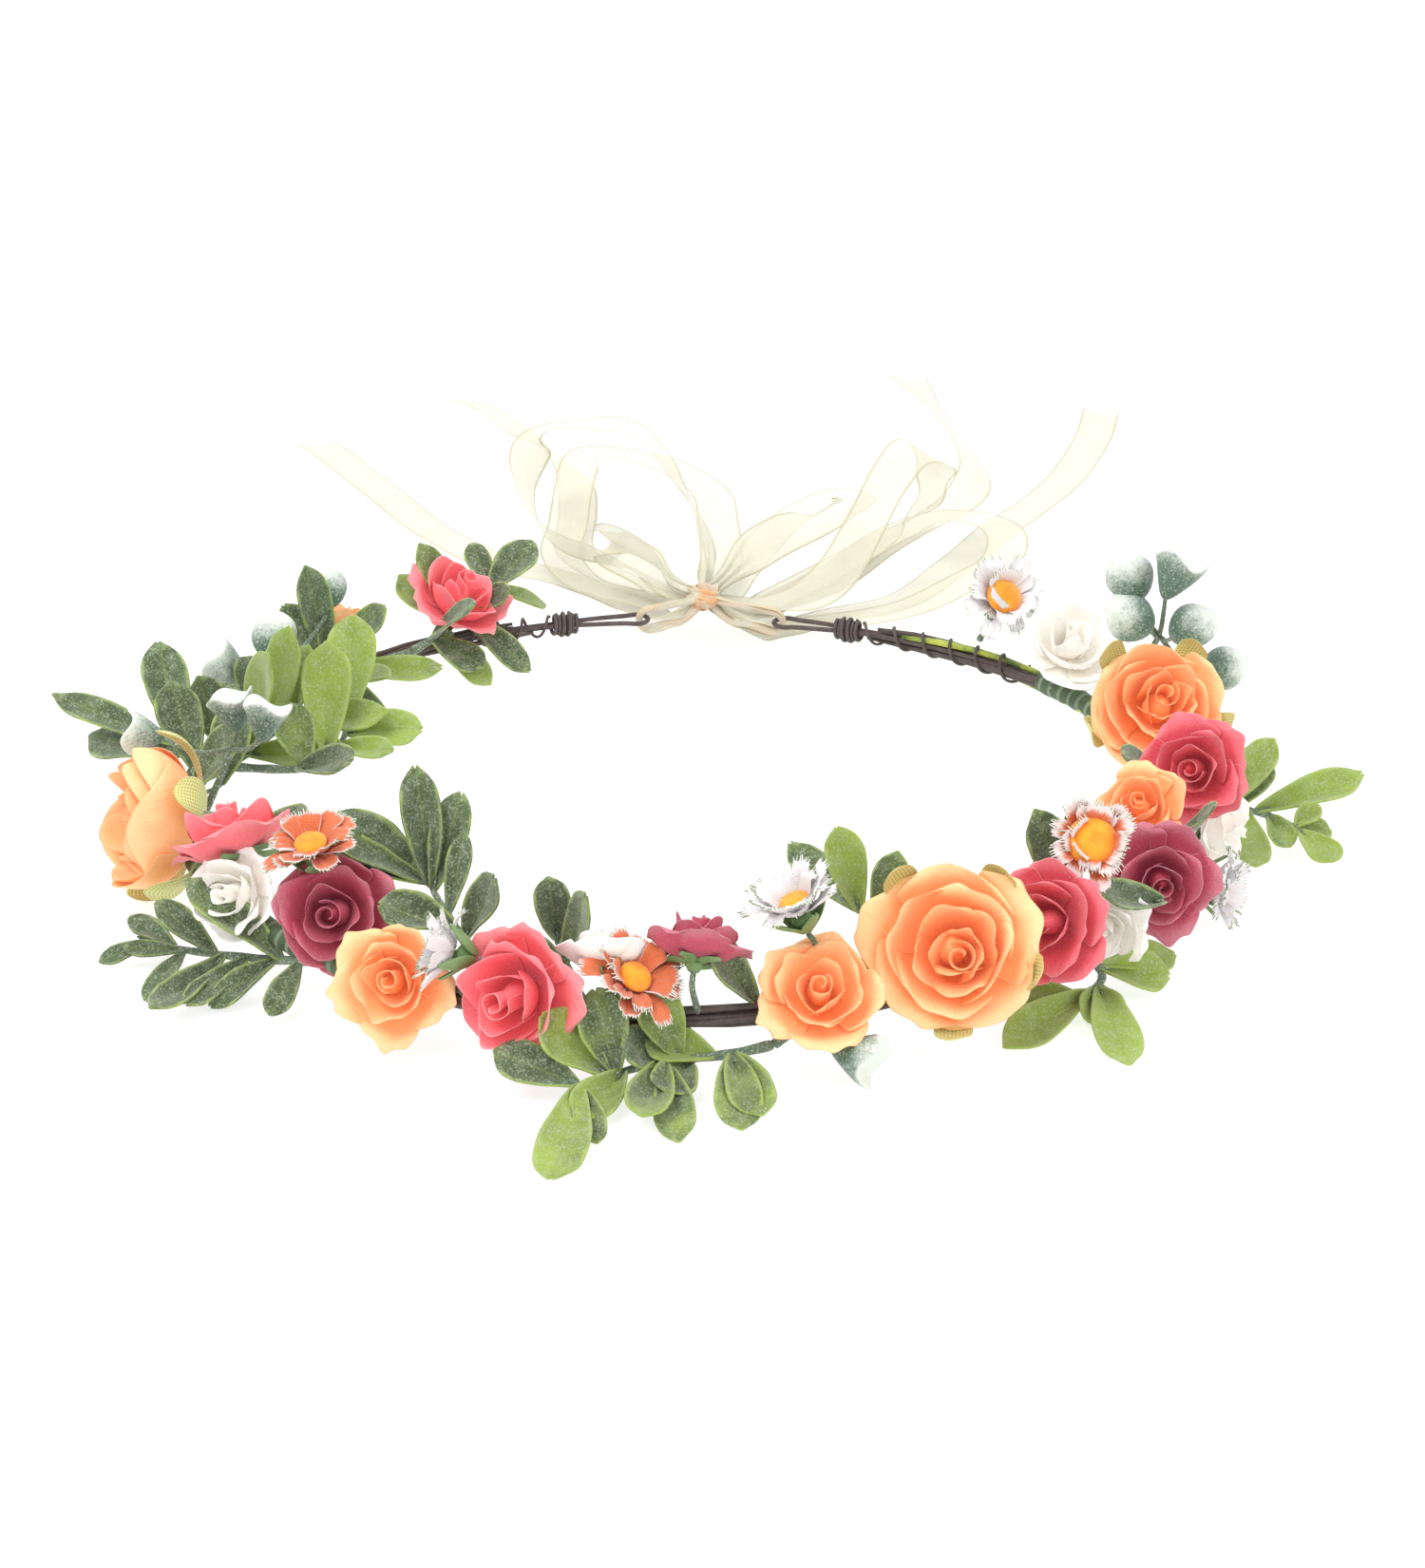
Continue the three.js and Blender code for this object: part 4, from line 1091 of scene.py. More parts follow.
def mesh_strip(turn, reach, rim, seed):
    """A broad woven sepal that follows the outside of the outer petals, in head radii."""
    line = [
        Vector((0.08, -0.56)), Vector((0.80 * reach, -0.68)),
        Vector((1.26 * reach, -0.36)), Vector((1.16 * reach, rim)),
    ]

    def place(u, v):
        base = curve_at(line, v * (1 - 0.10 * u * u))[0]
        angle = turn + 0.30 * u * (0.7 + 0.3 * v) * (1 - 0.45 * v**4)
        out = base.x + 0.02 * math.sin(3 * u + seed)
        return Vector((out * math.cos(angle), out * math.sin(angle), base.y))

    return place


def head_middle(node):
    low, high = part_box(node)
    return (low + high) / (2 * MM)


def set_forward(node, ahead, radius, sizes):
    """The middle of a head, set forward until its petals clear the bundle."""
    middle = head_middle(node)
    stems = on_hoop(math.degrees(math.atan2(middle.y, middle.x)), sizes.hoop_radius / MM)
    near = (stems - middle).dot(ahead) + BUNDLE_REACH + 0.25 * radius
    return middle + ahead * min(max(near, 0), FURTHEST_FORWARD) + Vector(LIFTED.get(node, (0, 0, 0)))


def make_rose(node, style, paper, heading, rise, radius, sizes):
    """One rose: rings of petals round a rolled heart, with sepals under them and a calyx."""
    dice = random.Random(node)
    petals = new_shape()
    plan = STYLES[style]
    start = dice.uniform(0, 2 * math.pi)
    drift = Vector((dice.uniform(-0.04, 0.04), dice.uniform(-0.04, 0.04), 0))
    rings = len(plan["rings"])
    for ring, (count, reach, rim, width, wrap, curl, point) in enumerate(plan["rings"]):
        for i in range(count):
            turn = start + 2.4 * ring + 2 * math.pi * (i + dice.uniform(-0.14, 0.14)) / count
            place = cupped_petal(
                turn, width * dice.uniform(0.92, 1.08), wrap * dice.uniform(0.9, 1.15),
                reach * dice.uniform(0.88, 1.09), rim + dice.uniform(-0.12, 0.10),
                curl * dice.uniform(0.4, 1.4), point, dice.uniform(0, 60),
            )
            # Tone falls from 1 on the outer ring towards the middle; petal_finish paints lower tones darker,
            # partly the paper's own deeper colour and partly painted shade deep in the flower.
            made = patch(petals, *PETAL_GRID, place, tone=1 - ring / rings)
            bmesh.ops.translate(petals, vec=drift * ring, verts=made)
    turns, reach, height = plan["heart"]
    roll = rolled_heart(turns, reach, height, start)
    heart = patch(petals, round(18 * turns), 4, roll, tone=0.25)
    bmesh.ops.translate(petals, vec=drift * rings, verts=heart)
    woven = style in ("garden", "globe")
    sepal = "mesh_sepal" if woven else "sepal"
    for i in range(SEPALS):
        turn = start + 2 * math.pi * (i + 0.5) / SEPALS
        if woven:
            place = mesh_strip(turn, 1.0, dice.uniform(-0.05, 0.18), dice.uniform(0, 9))
            patch(petals, 6, 12, place, material=2)
        else:
            place = pointed_sepal(turn, 0.8, 0.1, 0.22, dice.uniform(0, 9))
            patch(petals, 4, 8, place, material=2)
    ahead = direction(heading, rise)
    placing = facing(set_forward(node, ahead, radius, sizes), ahead, radius * plan["scale"])
    petals.transform(placing)
    thickness = sizes.foam if style == "foam" else sizes.paper
    finishes = [finish(paper), finish(paper + "_edge"), finish(sepal), finish(sepal)]
    add_piece(petals, node + "_petals", node, slot_of(node), finishes, thickness)
    calyx = new_shape()
    cup = [(0, -0.82), (0.12, -0.81), (0.17, -0.72), (0.26, -0.64), (0.2, -0.58), (0, -0.56)]
    lathe(calyx, cup, 12, material=1)
    bud = [(0, -0.52), (0.22, -0.5), (0.24, -0.2), (0.16, 0), (0.06, height - 0.24), (0, height - 0.22)]
    lathe(calyx, bud, 14, tone=0.1)
    calyx.transform(placing)
    add_piece(calyx, node + "_calyx", node, slot_of(node), [finish(paper), finish("sepal")])


# Daisies


def frayed_petal(turn, reach, width, lift, height, seed):
    """A cloth petal in head radii with a cut and frayed tip, lifted by lift from flat."""

    def place(u, v):
        column = round((u + 1) / 2 * CLOTH_COLUMNS)
        fray = noise.noise(Vector((column * 1.7, seed, 0))) * 0.09 + (0.045 if column % 2 else -0.03)
        length_out = mix(0.12, reach * (1 - 0.10 * u * u), v) + fray * ease(8 * v - 7)
        half = width * (0.36 + 0.64 * v) * (1 - 0.14 * ease(4 * v - 3))
        steep = lift * ease(0.35 + 0.8 * v) + 0.16 * math.sin(seed) * v
        out = length_out * math.cos(steep)
        high = height + length_out * math.sin(steep) + 0.5 * half * (u * u - 0.4) * (1 - 0.5 * v)
        high -= 0.5 * max(0, v - 0.55) ** 2 * (1 + math.cos(seed))
        high += 0.05 * noise.noise(Vector((2 * u, 3 * v, seed)))
        side = half * u
        c, s = math.cos(turn), math.sin(turn)
        return Vector((out * c - side * s, out * s + side * c, high))

    return place


def add_fringe(shape, petal, count, dice):
    """Loose threads at the cut tip of a cloth petal."""
    for i in range(count):
        u = mix(-0.86, 0.86, i / (count - 1)) + dice.uniform(-0.05, 0.05)
        root = petal(u, 0.9)
        ahead = (petal(u, 1) - petal(u, 0.8)).normalized()
        aside = (petal(u + 0.05, 0.9) - petal(u - 0.05, 0.9)).normalized()
        reach = dice.uniform(0.12, 0.19)
        bend = dice.uniform(-0.03, 0.03)

        def place(s, t):
            return root + ahead * (reach * t) + aside * (0.02 * s * (1 - 0.4 * t) + bend * t * t)

        patch(shape, 1, 3, place, material=1)


def make_daisy(node, cloth, heading, rise, radius, lift, heart, count, sizes):
    """One daisy: two rings of frayed cloth petals, a flocked heart and pointed sepals."""
    dice = random.Random(node)
    petals = new_shape()
    for ring, (reach, raised) in enumerate(((1.04, 0.0), (0.92, 0.16))):
        for i in range(count):
            turn = 2 * math.pi * (i + 0.5 * ring + dice.uniform(-0.12, 0.12)) / count
            place = frayed_petal(
                turn, reach * dice.uniform(0.88, 1.1), 2.3 / count * dice.uniform(0.8, 1.15),
                math.radians(lift) + raised + dice.uniform(-0.25, 0.2), -0.16 + 0.04 * ring,
                dice.uniform(0, 60),
            )
            patch(petals, CLOTH_COLUMNS, 9, place)
            add_fringe(petals, place, 8, dice)
    for i in range(SEPALS):
        turn = 2 * math.pi * (i + dice.uniform(-0.15, 0.15)) / SEPALS
        rise_out = 0.42 + 0.5 * math.sin(math.radians(lift))
        patch(petals, 4, 8, pointed_sepal(turn, 0.68, rise_out, 0.24, dice.uniform(0, 9)), material=2)
    standing = node == "standing_daisy"
    middle = Vector(STANDING_STEM[-1]) if standing else head_middle(node)
    placing = facing(middle, direction(heading, rise), radius)
    petals.transform(placing)
    finishes = [finish(cloth), finish("thread_edge"), finish("sepal"), finish("sepal")]
    add_piece(petals, node + "_petals", node, slot_of(node), finishes, sizes.cloth)
    middle_piece = new_shape()
    dome = 0.62 if heart > 0.4 else 0.34
    profile = [(0, -0.2)]
    for step in range(7):
        turn = math.radians(-40 + 130 * step / 6)
        out = heart * max(math.cos(turn), 0)
        profile.append((out, 0.02 + dome * heart * (0.5 + math.sin(turn))))
    profile[-1] = (0, profile[-1][1])
    lathe(middle_piece, profile, 18)
    cup = [(0, -0.62), (0.1, -0.61), (0.16, -0.5), (0.24, -0.32), (0.16, -0.22), (0, -0.2)]
    lathe(middle_piece, cup, 12, material=1)
    middle_piece.transform(placing)
    if standing:
        path = smooth_path(STANDING_STEM, 16)[:-3]
        sweep(middle_piece, path, lambda v: mix(0.9, 0.7, v), 8, material=2)
    finishes = [finish("heart"), finish("sepal"), finish("stem")]
    add_piece(middle_piece, node + "_heart", node, slot_of(node), finishes)


# Leaves


def leaf_blade(base, heading, rise, long, wide, dice):
    """A thick cupped leaf from base: a narrow foot, a broad blunt end and a sunk midrib."""
    ahead = direction(heading, rise)
    aside = LEAF_FACING.cross(ahead).normalized()
    face = ahead.cross(aside)
    cup = dice.uniform(0.12, 0.36)
    bend = dice.uniform(-0.20, 0.14)
    notch = dice.choice((0.0, 0.0, 0.035, 0.06))
    wave = dice.uniform(0.01, 0.035)
    seed = dice.uniform(0, 60)
    lean = dice.uniform(-0.06, 0.06)

    def place(u, v):
        blade = v**0.9 * (1 - v**2.8) ** 0.62 / 0.55
        half = wide / 2 * (0.12 + 0.88 * blade) if v < 1 else wide / 2 * 0.2
        half *= 1 + 0.08 * noise.noise(Vector((5 * v, 3 * (u > 0), seed)))
        out = long * (v - 0.05 * u * u * v**4)
        out -= long * notch * v**12 * max(0, 1 - 3 * abs(u))
        rib = -0.055 * wide * math.exp(-((u / 0.16) ** 2)) * (1 - v)
        lift = cup * wide * (u * u - 0.35) * math.sin(math.pi * min(1, v + 0.12)) + rib + bend * long * v * v
        lift += wave * wide * math.sin(9 * v + seed) * u * u
        return base + ahead * out + aside * (u * half + lean * long * v * v) + face * lift

    return place


def make_sprig(name, node, stem, lime, leaves, sizes):
    """One sprig: flocked leaves on a stem that thins towards its tip."""
    dice = random.Random(name)
    path = smooth_path(stem, STEM_STEPS)
    blades = new_shape()
    for share, heading, rise, long, wide, *own in leaves:
        base = path[round(share * STEM_STEPS)]
        tone = min(max((own[0] if own else lime) + dice.uniform(-0.3, 0.3), 0), 1)
        patch(blades, *LEAF_GRID, leaf_blade(base, heading, rise, long, wide, dice), tone=tone)
    for vert in blades.verts:
        vert.co.z = max(vert.co.z, LEAF_REST)
    finishes = [finish("leaf"), finish("leaf_edge")]
    add_piece(blades, name + "_leaves", node, slot_of(node), finishes, sizes.leaf)
    stalk = new_shape()

    def width(v):
        return mix(1.05, 0.62, v) * (1 + 0.10 * math.sin(30 * v)) * (1 - 0.5 * ease(8 * v - 7))

    sweep(stalk, path, width, 10)
    for share, heading, rise, long, *_ in leaves:
        base = path[round(share * STEM_STEPS)]
        ahead = direction(heading, rise)
        foot = [base - ahead * 0.4, base + ahead * (0.05 * long), base + ahead * (0.16 * long)]
        sweep(stalk, foot, lambda v: mix(0.75, 0.25, v), 6)
    add_piece(stalk, name + "_stem", node, slot_of(node), [finish("stem")])


def make_single_leaves(sizes):
    """The leaves that grow singly, each on a short stalk out of the bundle."""
    dice = random.Random("single_leaves")
    blades = new_shape()
    stalks = new_shape()
    for foot, heading, rise, long, wide, lime in SINGLE_LEAVES:
        foot = Vector(foot)
        patch(blades, *LEAF_GRID, leaf_blade(foot, heading, rise, long, wide, dice), tone=lime)
        root = on_hoop(math.degrees(math.atan2(foot.y, foot.x)), sizes.hoop_radius / MM)
        top = foot + direction(heading, rise) * (0.16 * long)
        sweep(stalks, smooth_path([root, foot, top], 8), lambda v: mix(0.75, 0.3, v), 6)
    slot = slot_of("leaf_sprig_left")
    finishes = [finish("leaf"), finish("leaf_edge")]
    add_piece(blades, "single_leaves", "stem_bundle", slot, finishes, sizes.leaf)
    add_piece(stalks, "single_stalks", "stem_bundle", slot, [finish("stem")])


# Buds

BUD_FORMS = {
    "egg": [
        (0, -1.08), (0.22, -1.04), (0.6, -0.82), (0.92, -0.36), (1, 0.08), (0.9, 0.5), (0.62, 0.84),
        (0.26, 1.06), (0, 1.12),
    ],
    "cup": [
        (0, -1.1), (0.16, -1.06), (0.36, -0.82), (0.66, -0.3), (0.95, 0.22), (1.12, 0.52), (1.14, 0.62),
        (1.04, 0.64), (0.78, 0.42), (0.4, 0.24), (0, 0.18),
    ],
}


def make_bud(shape, form, middle, heading, rise, radius, pale, dice):
    """A closed bud with a pinched tip, or an open cup with a lobed rim."""
    made = lathe(shape, BUD_FORMS[form], 20, tone=pale)
    start = dice.uniform(0, 2 * math.pi)
    for vert in made:
        turn = math.atan2(vert.co.y, vert.co.x) + start
        high = ease((vert.co.z - 0.1) / 0.9)
        if form == "cup":
            out = math.hypot(vert.co.x, vert.co.y)
            vert.co.z += 0.2 * math.cos(3 * turn) * ease((vert.co.z - 0.2) / 0.4) * out
            vert.co.y *= 1 - 0.22 * high
        else:
            vert.co.y *= 1 - 0.3 * high
            vert.co.x += 0.12 * high
    placing = facing(Vector(middle), direction(heading, rise), radius, start)
    bmesh.ops.transform(shape, matrix=placing, verts=made)


def make_bud_pick(node, stem, buds):
    """One pick: frosted buds, each on its own fine stalk from a shared stem."""
    dice = random.Random(node)
    heads = new_shape()
    stalks = new_shape()
    sweep(stalks, smooth_path(stem, 14), lambda v: mix(0.9, 0.7, v), 8)
    top = Vector(stem[-1])
    for form, middle, heading, rise, radius, *own in buds:
        pale = own[0] if own else dice.uniform(-0.3, 0.8)
        make_bud(heads, form, middle, heading, rise, radius, pale, dice)
        foot = Vector(middle) - direction(heading, rise) * radius * 0.95
        sag = (top + foot) / 2 + Vector((0, 0, -0.12 * (foot - top).length))
        sweep(stalks, smooth_path([top, sag, foot], 10), lambda v: mix(0.62, 0.5, v), 8)
    add_piece(heads, node + "_heads", node, slot_of(node), [finish("bud")])
    add_piece(stalks, node + "_stalks", node, slot_of(node), [finish("stem")])


# Wires and stems

LEFT_NECK, LEFT_TIP = 105, 94.5
RIGHT_NECK, RIGHT_TIP = 68.5, 78
STRAND_OFFSET = 0.75
EYE_RADIUS = 3
BUNDLE_START = LEFT_NECK + 3
BUNDLE_END = RIGHT_NECK + 357


def eye_rows(neck, tip, hoop, wire):
    """The open eye at one end of the wire: rows of (angle round the hoop, offset from its line)."""
    sign = math.copysign(1, tip - neck)
    straight = 1 - EYE_RADIUS / (abs(math.radians(tip - neck)) * hoop)
    rows = []
    for share in (0.15, 0.3, 0.45, 0.62, 0.75, 0.86):
        spread = mix(STRAND_OFFSET, EYE_RADIUS - wire, math.sqrt(share))
        rows.append((mix(neck, tip, share * straight), spread))
    back = [(at, -spread) for at, spread in reversed(rows)]
    for turn in range(90, -91, -15):
        angle = math.radians(turn)
        ahead = math.degrees(EYE_RADIUS * math.cos(angle) / hoop)
        rows.append((mix(neck, tip, straight) + sign * ahead, EYE_RADIUS * math.sin(angle)))
    return rows + back


def strand_rows(start, end, offset):
    count = math.ceil(abs(end - start) / 3)
    return [(mix(start, end, i / count), offset) for i in range(count + 1)]


def make_hoop_wire(sizes):
    """One wire run twice round the hoop, turned back on itself in an open eye at each end."""
    hoop = sizes.hoop_radius / MM
    wire = sizes.wire_radius / MM
    rows = (
        strand_rows(270.3, RIGHT_NECK + 360, STRAND_OFFSET)
        + eye_rows(RIGHT_NECK + 360, RIGHT_TIP + 360, hoop, wire)
        + strand_rows(RIGHT_NECK + 360, LEFT_NECK, -STRAND_OFFSET)
        + [(at, -offset) for at, offset in eye_rows(LEFT_NECK, LEFT_TIP, hoop, wire)]
        + strand_rows(LEFT_NECK, 269.7, STRAND_OFFSET)
    )
    path = [on_hoop(at, hoop + offset) for at, offset in rows]
    path = [point for i, point in enumerate(path) if i == 0 or (point - path[i - 1]).length > 0.05]
    shape = new_shape()
    sweep(shape, path, lambda v: wire, 8)
    add_piece(shape, "hoop_wire_cover", "hoop_wire", slot_of("hoop_wire"), [finish("wire")])


def coil_points(start, end, hoop, reach, turns, phase=0.0):
    """A coil round the hoop's line from one angle to another; reach(share) is its radius there."""
    count = round(abs(turns) * 14)
    points = []
    for i in range(count + 1):
        share = i / count
        at = mix(start, end, share)
        turn = phase + 2 * math.pi * turns * share
        out = hoop + reach(share) * math.cos(turn)
        points.append(on_hoop(at, out, HOOP_HEIGHT + reach(share) * math.sin(turn)))
    return points


def make_binding(node, neck, towards, sizes, open_turns):
    """Fine wire coiled tightly round a neck and then in open turns along the stems."""
    hoop = sizes.hoop_radius / MM
    thin = sizes.binding_radius / MM
    shape = new_shape()
    sign = math.copysign(1, towards - neck)
    tight_end = neck + 2.2 * sign
    tight = coil_points(neck - 1.2 * sign, tight_end, hoop, lambda s: 1.9 + 0.25 * math.sin(9 * s), 6)
    knot = coil_points(neck - 0.2 * sign, neck + 1.4 * sign, hoop, lambda s: 2.6, 2, 1.0)
    loose = coil_points(tight_end, towards, hoop, lambda s: mix(2.2, 2.75, s), open_turns, 0.6)
    for path, thick in ((tight, thin * 1.25), (knot, thin * 1.25), (loose, thin)):
        sweep(shape, path, lambda v: thick, 7)
    add_piece(shape, node + "_coil", node, slot_of(node), [finish("wire")])


def make_stem_bundle(sizes):
    """The stems along the wire: brown strands, plastic stems, taped stretches and a stem to each head."""
    hoop = sizes.hoop_radius / MM
    dice = random.Random("stem_bundle")
    shape = new_shape()
    strands = [(0, 0.68), (0, 0.62), (0, 0.7), (1, 0.8), (0, 0.62), (1, 0.75), (0, 0.66)]
    for i, (kind, thick) in enumerate(strands):
        phase = 2 * math.pi * i / len(strands)
        start = BUNDLE_END - 50 if kind else BUNDLE_START + dice.uniform(0, 7)
        end = BUNDLE_END - dice.uniform(0, 6)
        path = coil_points(start, end, hoop, lambda s: 1.55, (end - start) / dice.uniform(65, 80), phase)
        sweep(shape, path, lambda v: thick * (1 - 0.4 * ease(60 * abs(v - 0.5) - 29)), 7, material=kind)
    for start, end in ((136, 236), (306, 398)):
        path = [on_hoop(mix(start, end, i / 90), hoop) for i in range(91)]
        sweep(shape, path, lambda v: 2.35 + 0.16 * math.sin(200 * v), 14, material=2)
    heads = {node: row[2:5] for node, row in ROSES.items()}
    heads.update({node: row[1:4] for node, row in DAISIES.items() if node != "standing_daisy"})
    for node, (heading, rise, radius) in heads.items():
        middle = head_middle(node)
        if node in ROSES:
            middle = set_forward(node, direction(heading, rise), radius, sizes)
        calyx = middle - direction(heading, rise) * radius * 0.7
        centre = on_hoop(math.degrees(math.atan2(middle.y, middle.x)), hoop)
        skin = centre + (calyx - centre).normalized() * 1.2
        bow = calyx - direction(heading, rise) * 0.35 * (calyx - skin).length
        sweep(shape, smooth_path([skin, bow, calyx], 8), lambda v: mix(0.7, 0.55, v), 7, material=3)
    for stem, *_ in SPRIGS.values():
        start, then = Vector(stem[0]), Vector(stem[1])
        behind = start - (then - start).normalized() * 12
        root = on_hoop(math.degrees(math.atan2(behind.y, behind.x)), hoop)
        sweep(shape, smooth_path([root, start], 6), lambda v: mix(0.7, 1.0, v), 8, material=3)
    finishes = [finish("wire"), finish("plastic_stem"), finish("tape"), finish("stem")]
    add_piece(shape, "stem_bundle_strands", "stem_bundle", slot_of("stem_bundle"), finishes, levels=0)


# Ribbon


def ribbon_frames(rows, pieces):
    """Points along a run, and the directions ahead, across and up from the ribbon at each."""
    samples = [through(rows, i / pieces) for i in range(pieces + 1)]
    points = [Vector(sample[:3]) for sample in samples]
    frames = []
    for i, sample in enumerate(samples):
        ahead = (points[min(i + 1, pieces)] - points[max(i - 1, 0)]).normalized()
        flat = UP.cross(ahead).normalized()
        across = Matrix.Rotation(math.radians(sample[3]), 3, ahead) @ flat
        frames.append((ahead, across, ahead.cross(across)))
    return points, frames


def path_length(points):
    return sum((after - before).length for before, after in zip(points, points[1:]))


def ribbon_run(rows, pieces, width, both_ends, cut, seed):
    """A run of ribbon, gathered in folds where it meets the knot; cut slants its free end."""
    points, frames = ribbon_frames(rows, pieces)
    total = path_length(points)
    knot = Vector(KNOT)

    def place(u, v):
        i = round(v * pieces)
        ahead, across, above = frames[i]
        near = (points[i] - knot).length
        pinch = ease((20 - near) / 15) if both_ends or v < 0.5 else 0
        half = width / 2 * (1 - 0.62 * pinch)
        fold = pinch * 1.1 * math.cos(3 * math.pi * u + seed)
        ripple = 0.5 * noise.noise(Vector((0.4 * u, total * v / 16, seed))) * (1 - pinch)
        crown = 0.35 * (1 - u * u) * math.sin(5 * v + seed)
        slant = ahead * cut * (0.5 * u + 0.5 * u * u) * ease(25 * v - 24)
        return points[i] + across * (u * half) + above * (fold + ripple + crown) + slant

    return place, total


def flat_ribbon(sizes, long):
    """The flat size of a length of ribbon, to a hundredth of a millimetre."""
    return (round(sizes.ribbon_width, 5), round(long, 5))


def make_ribbon_run(node, rows, sizes, both_ends, cut):
    """One loop or tail of the bow."""
    knot = (*KNOT, rows[0][3])
    rows = [knot] + rows + ([(*KNOT, rows[-1][3])] if both_ends else [])
    pieces = (len(rows) - 1) * 8
    seed = random.Random(node).uniform(0, 60)
    width = sizes.ribbon_width / MM
    shape = new_shape()
    place, total = ribbon_run(rows, pieces, width, both_ends, cut, seed)
    patch(shape, 12, pieces, place)
    piece = add_piece(shape, node + "_run", node, slot_of(node), [finish("ribbon")] * 2, sizes.ribbon)
    flat_ribbon(sizes, total * MM)


def make_knot(sizes):
    """The knot: three crumpled bands wound over each other."""
    shape = new_shape()
    bands = [(0.2, 0.1, 2.9, 2.6), (0.9, 1.5, 3.3, 2.2), (-0.7, 1.2, 2.8, 2.3), (1.5, 0.3, 2.5, 2.8)]
    area = 0
    for i, (heading, tilt, reach, width) in enumerate(bands):
        axis = direction(math.degrees(heading), math.degrees(tilt))
        side = axis.orthogonal().normalized()
        lift = axis.cross(side)

        def place(u, v):
            turn = 2 * math.pi * v * 0.97
            out = reach + 0.45 * math.cos(5.5 * u + i) - 0.7 * u * u + 0.3 * math.sin(3 * turn)
            way = side * math.cos(turn) + lift * math.sin(turn)
            spot = way * out + axis * (u * width * (1 + 0.15 * math.sin(2 * turn + i)))
            return Vector((spot.x * 1.15, spot.y * 0.9, spot.z)) + Vector(KNOT)

        made = patch(shape, 10, 28, place, tone=0.75 if i % 2 else 0.35)
        area += sum(face.calc_area() for face in faces_of(made))
    slot = slot_of("ribbon_knot")
    finishes = [finish("ribbon")] * 2
    piece = add_piece(shape, "ribbon_knot_bands", "ribbon_knot", slot, finishes, sizes.ribbon)
    flat_ribbon(sizes, area * MM * MM / sizes.ribbon_width)


def link_rows(tip_degrees, neck, hoop):
    """A link's path: from the knot down through the eye, round the end of the wire and back."""
    reach = 2.5
    tip = on_hoop(tip_degrees, hoop)
    inward = on_hoop(neck, hoop) - tip
    inward = Vector((inward.x, inward.y, 0)).normalized()
    knot = Vector(KNOT)
    rows = [knot]
    for share in (0.35, 0.65):
        spot = knot.lerp(tip, share)
        rows.append(Vector((spot.x, spot.y, HOOP_HEIGHT + reach)))
    for turn in range(90, -91, -30):
        angle = math.radians(turn)
        spot = tip + inward * (reach * math.cos(angle) - 0.4)
        rows.append(Vector((spot.x, spot.y, HOOP_HEIGHT + reach * math.sin(angle))))
    for share in (0.65, 0.35):
        spot = knot.lerp(tip, share)
        rows.append(Vector((spot.x, spot.y, HOOP_HEIGHT - reach + 1.2 * (1 - share))))
    rows.append(knot)
    return rows


def make_link(node, tip_degrees, neck, sizes):
    """The gathered stretch of ribbon through one eye, folded lengthwise into a narrow rope."""
    hoop = sizes.hoop_radius / MM
    path = smooth_path(link_rows(tip_degrees, neck, hoop), LINK_STEPS)
    frames = frames_along(path)
    shape = new_shape()

    def place(u, v):
        step = round(v * LINK_STEPS)
        side, lift = frames[step]
        turn = 2.6 * math.pi * u
        out = 0.75 + 0.25 * math.cos(6 * u + 20 * v)
        return path[step] + side * (out * math.cos(turn)) + lift * (out * math.sin(turn) + 0.3 * u)

    made = patch(shape, 20, LINK_STEPS, place, tone=0.2)
    area = sum(face.calc_area() for face in faces_of(made))
    piece = add_piece(shape, node + "_rope", node, slot_of(node), [finish("ribbon")] * 2, sizes.ribbon)
    flat_ribbon(sizes, area * MM * MM / sizes.ribbon_width)


# Operators


class CROWN_OT_stage(bpy.types.Operator):
    """Makes the pale floor, the soft lights and the camera"""

    bl_idname = "crown.stage"
    bl_label = "Stage"

    def execute(self, context):
        scene = context.scene
        scene.view_settings.view_transform = "Standard"
        world = bpy.data.worlds.new("studio")
        scene.world = world
        world.use_nodes = True
        world.node_tree.nodes["Background"].inputs["Color"].default_value = (1, 1, 1, 1)
        world.node_tree.nodes["Background"].inputs["Strength"].default_value = 0.84
        floor_shape = bmesh.new()
        bmesh.ops.create_grid(floor_shape, x_segments=1, y_segments=1, size=8)
        mesh = bpy.data.meshes.new("floor")
        floor_shape.to_mesh(mesh)
        floor_shape.free()
        mesh.materials.append(finish("floor"))
        floor = bpy.data.objects.new("floor", mesh)
        scene.collection.objects.link(floor)
        low, high = CAD_BOX
        middle = (low + high) / 2
        lamps = [
            ("key", (-0.5, -0.5, 1.1), 0.8, 9),
            ("fill", (0.8, -0.7, 0.8), 1.0, 4.5),
            ("back", (0.1, 1.0, 0.9), 1.2, 4),
        ]
        for name, offset, size, power in lamps:
            data = bpy.data.lights.new(name, "AREA")
            data.size = size
            data.energy = power
            lamp = bpy.data.objects.new(name, data)
            lamp.location = middle + Vector(offset)
            lamp.rotation_euler = (-Vector(offset)).to_track_quat("-Z", "Y").to_euler()
            scene.collection.objects.link(lamp)
        camera = bpy.data.cameras.new("camera")
        camera.lens = 90
        camera.clip_end = 50
        view = bpy.data.objects.new("camera", camera)
        view.location = CAMERA_AIM + direction(-90, CAMERA_RISE) * CAMERA_DISTANCE
        view.rotation_euler = (math.radians(90 - CAMERA_RISE), 0, 0)
        scene.collection.objects.link(view)
        scene.camera = view
        return {"FINISHED"}


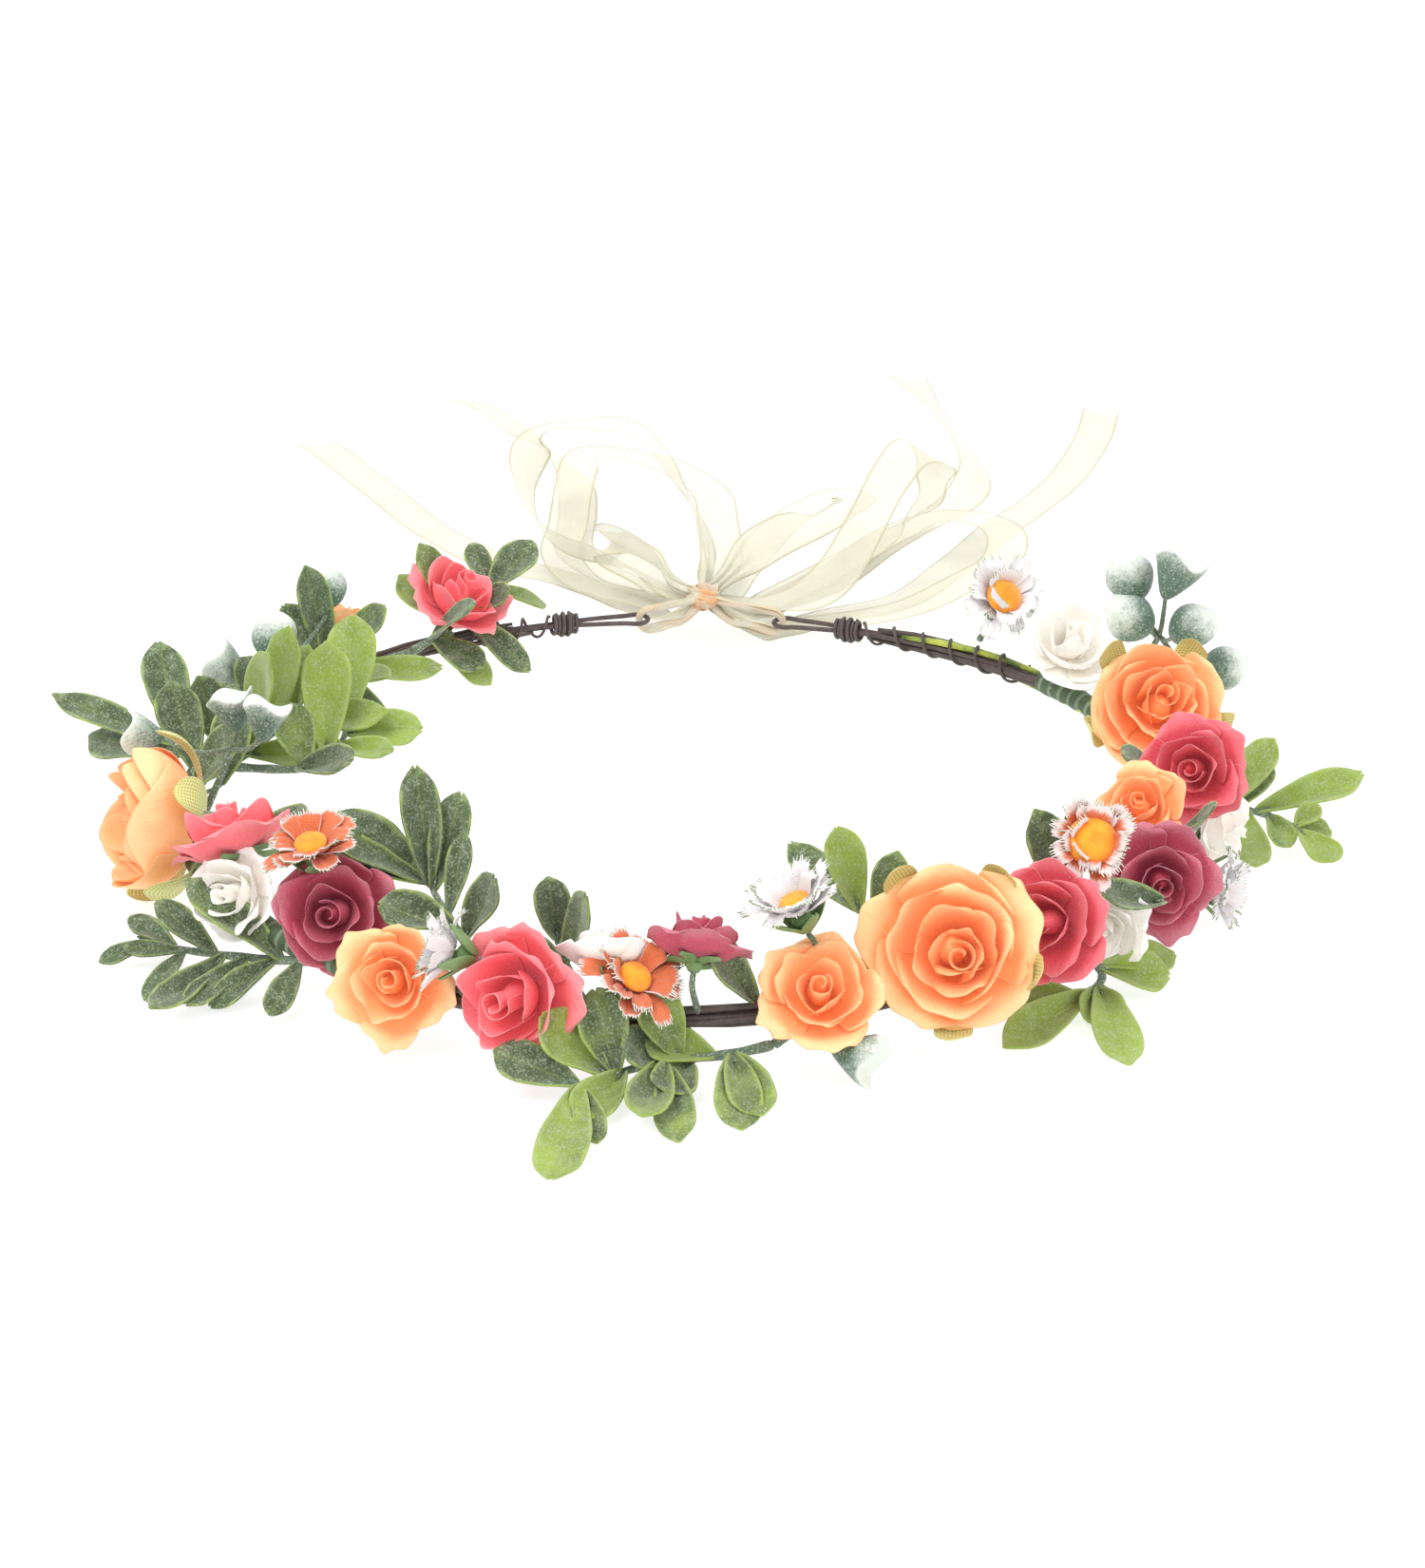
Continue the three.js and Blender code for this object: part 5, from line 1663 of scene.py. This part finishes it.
class CROWN_OT_wires(bpy.types.Operator):
    """Makes the hoop wire and the binding wires"""

    bl_idname = "crown.wires"
    bl_label = "Wires"

    def execute(self, context):
        sizes = context.scene.crown_sizes
        make_hoop_wire(sizes)
        make_binding("binding_wire_left", LEFT_NECK, LEFT_NECK + 16, sizes, 4)
        make_binding("binding_wire_right", RIGHT_NECK, RIGHT_NECK - 27, sizes, 6)
        return {"FINISHED"}


class CROWN_OT_stems(bpy.types.Operator):
    """Makes the bundle of stems along the hoop"""

    bl_idname = "crown.stems"
    bl_label = "Stem Bundle"

    def execute(self, context):
        make_stem_bundle(context.scene.crown_sizes)
        return {"FINISHED"}


class CROWN_OT_roses(bpy.types.Operator):
    """Makes the roses"""

    bl_idname = "crown.roses"
    bl_label = "Roses"

    def execute(self, context):
        for node, row in ROSES.items():
            make_rose(node, *row, context.scene.crown_sizes)
        return {"FINISHED"}


class CROWN_OT_daisies(bpy.types.Operator):
    """Makes the cloth daisies"""

    bl_idname = "crown.daisies"
    bl_label = "Daisies"

    def execute(self, context):
        for node, row in DAISIES.items():
            make_daisy(node, *row, context.scene.crown_sizes)
        return {"FINISHED"}


class CROWN_OT_leaves(bpy.types.Operator):
    """Makes the leaf sprigs"""

    bl_idname = "crown.leaves"
    bl_label = "Leaf Sprigs"

    def execute(self, context):
        sizes = context.scene.crown_sizes
        for node, row in SPRIGS.items():
            make_sprig(node, node, *row, sizes)
        for name, row in BRANCHES.items():
            make_sprig(name, *row, sizes)
        make_single_leaves(sizes)
        return {"FINISHED"}


class CROWN_OT_buds(bpy.types.Operator):
    """Makes the bud picks"""

    bl_idname = "crown.buds"
    bl_label = "Bud Picks"

    def execute(self, context):
        for node, row in BUD_PICKS.items():
            make_bud_pick(node, *row)
        return {"FINISHED"}


class CROWN_OT_bow(bpy.types.Operator):
    """Makes the ribbon bow: knot, links, loops and tails"""

    bl_idname = "crown.bow"
    bl_label = "Ribbon Bow"

    def execute(self, context):
        sizes = context.scene.crown_sizes
        make_knot(sizes)
        make_link("ribbon_link_left", LEFT_TIP, LEFT_NECK, sizes)
        make_link("ribbon_link_right", RIGHT_TIP, RIGHT_NECK, sizes)
        for node, rows in LOOPS.items():
            make_ribbon_run(node, rows, sizes, True, 0)
        for node, rows in TAILS.items():
            make_ribbon_run(node, rows, sizes, False, 4)
        return {"FINISHED"}


OPERATORS = (
    CROWN_OT_stage,
    CROWN_OT_wires,
    CROWN_OT_stems,
    CROWN_OT_roses,
    CROWN_OT_daisies,
    CROWN_OT_leaves,
    CROWN_OT_buds,
    CROWN_OT_bow,
)


class CROWN_PT_panel(bpy.types.Panel):
    """Lists the pieces of the crown with their sizes and colours"""

    bl_idname = "CROWN_PT_panel"
    bl_label = "Flower Crown"
    bl_space_type = "VIEW_3D"
    bl_region_type = "UI"
    bl_category = "Crown"

    def draw(self, context):
        for operator in OPERATORS:
            self.layout.operator(operator.bl_idname)
        for group in (context.scene.crown_sizes, context.scene.crown_colours):
            for name in group.__annotations__:
                self.layout.prop(group, name)


CLASSES = (CrownSizes, CrownColours, *OPERATORS, CROWN_PT_panel)


def register():
    for item in CLASSES:
        bpy.utils.register_class(item)
    bpy.types.Scene.crown_sizes = PointerProperty(type=CrownSizes)
    bpy.types.Scene.crown_colours = PointerProperty(type=CrownColours)


def unregister():
    del bpy.types.Scene.crown_colours
    del bpy.types.Scene.crown_sizes
    for item in reversed(CLASSES):
        bpy.utils.unregister_class(item)


def main():
    register()
    bpy.ops.crown.stage()
    bpy.ops.crown.wires()
    bpy.ops.crown.stems()
    bpy.ops.crown.roses()
    bpy.ops.crown.daisies()
    bpy.ops.crown.leaves()
    bpy.ops.crown.buds()
    bpy.ops.crown.bow()


if __name__ == "__main__":
    main()
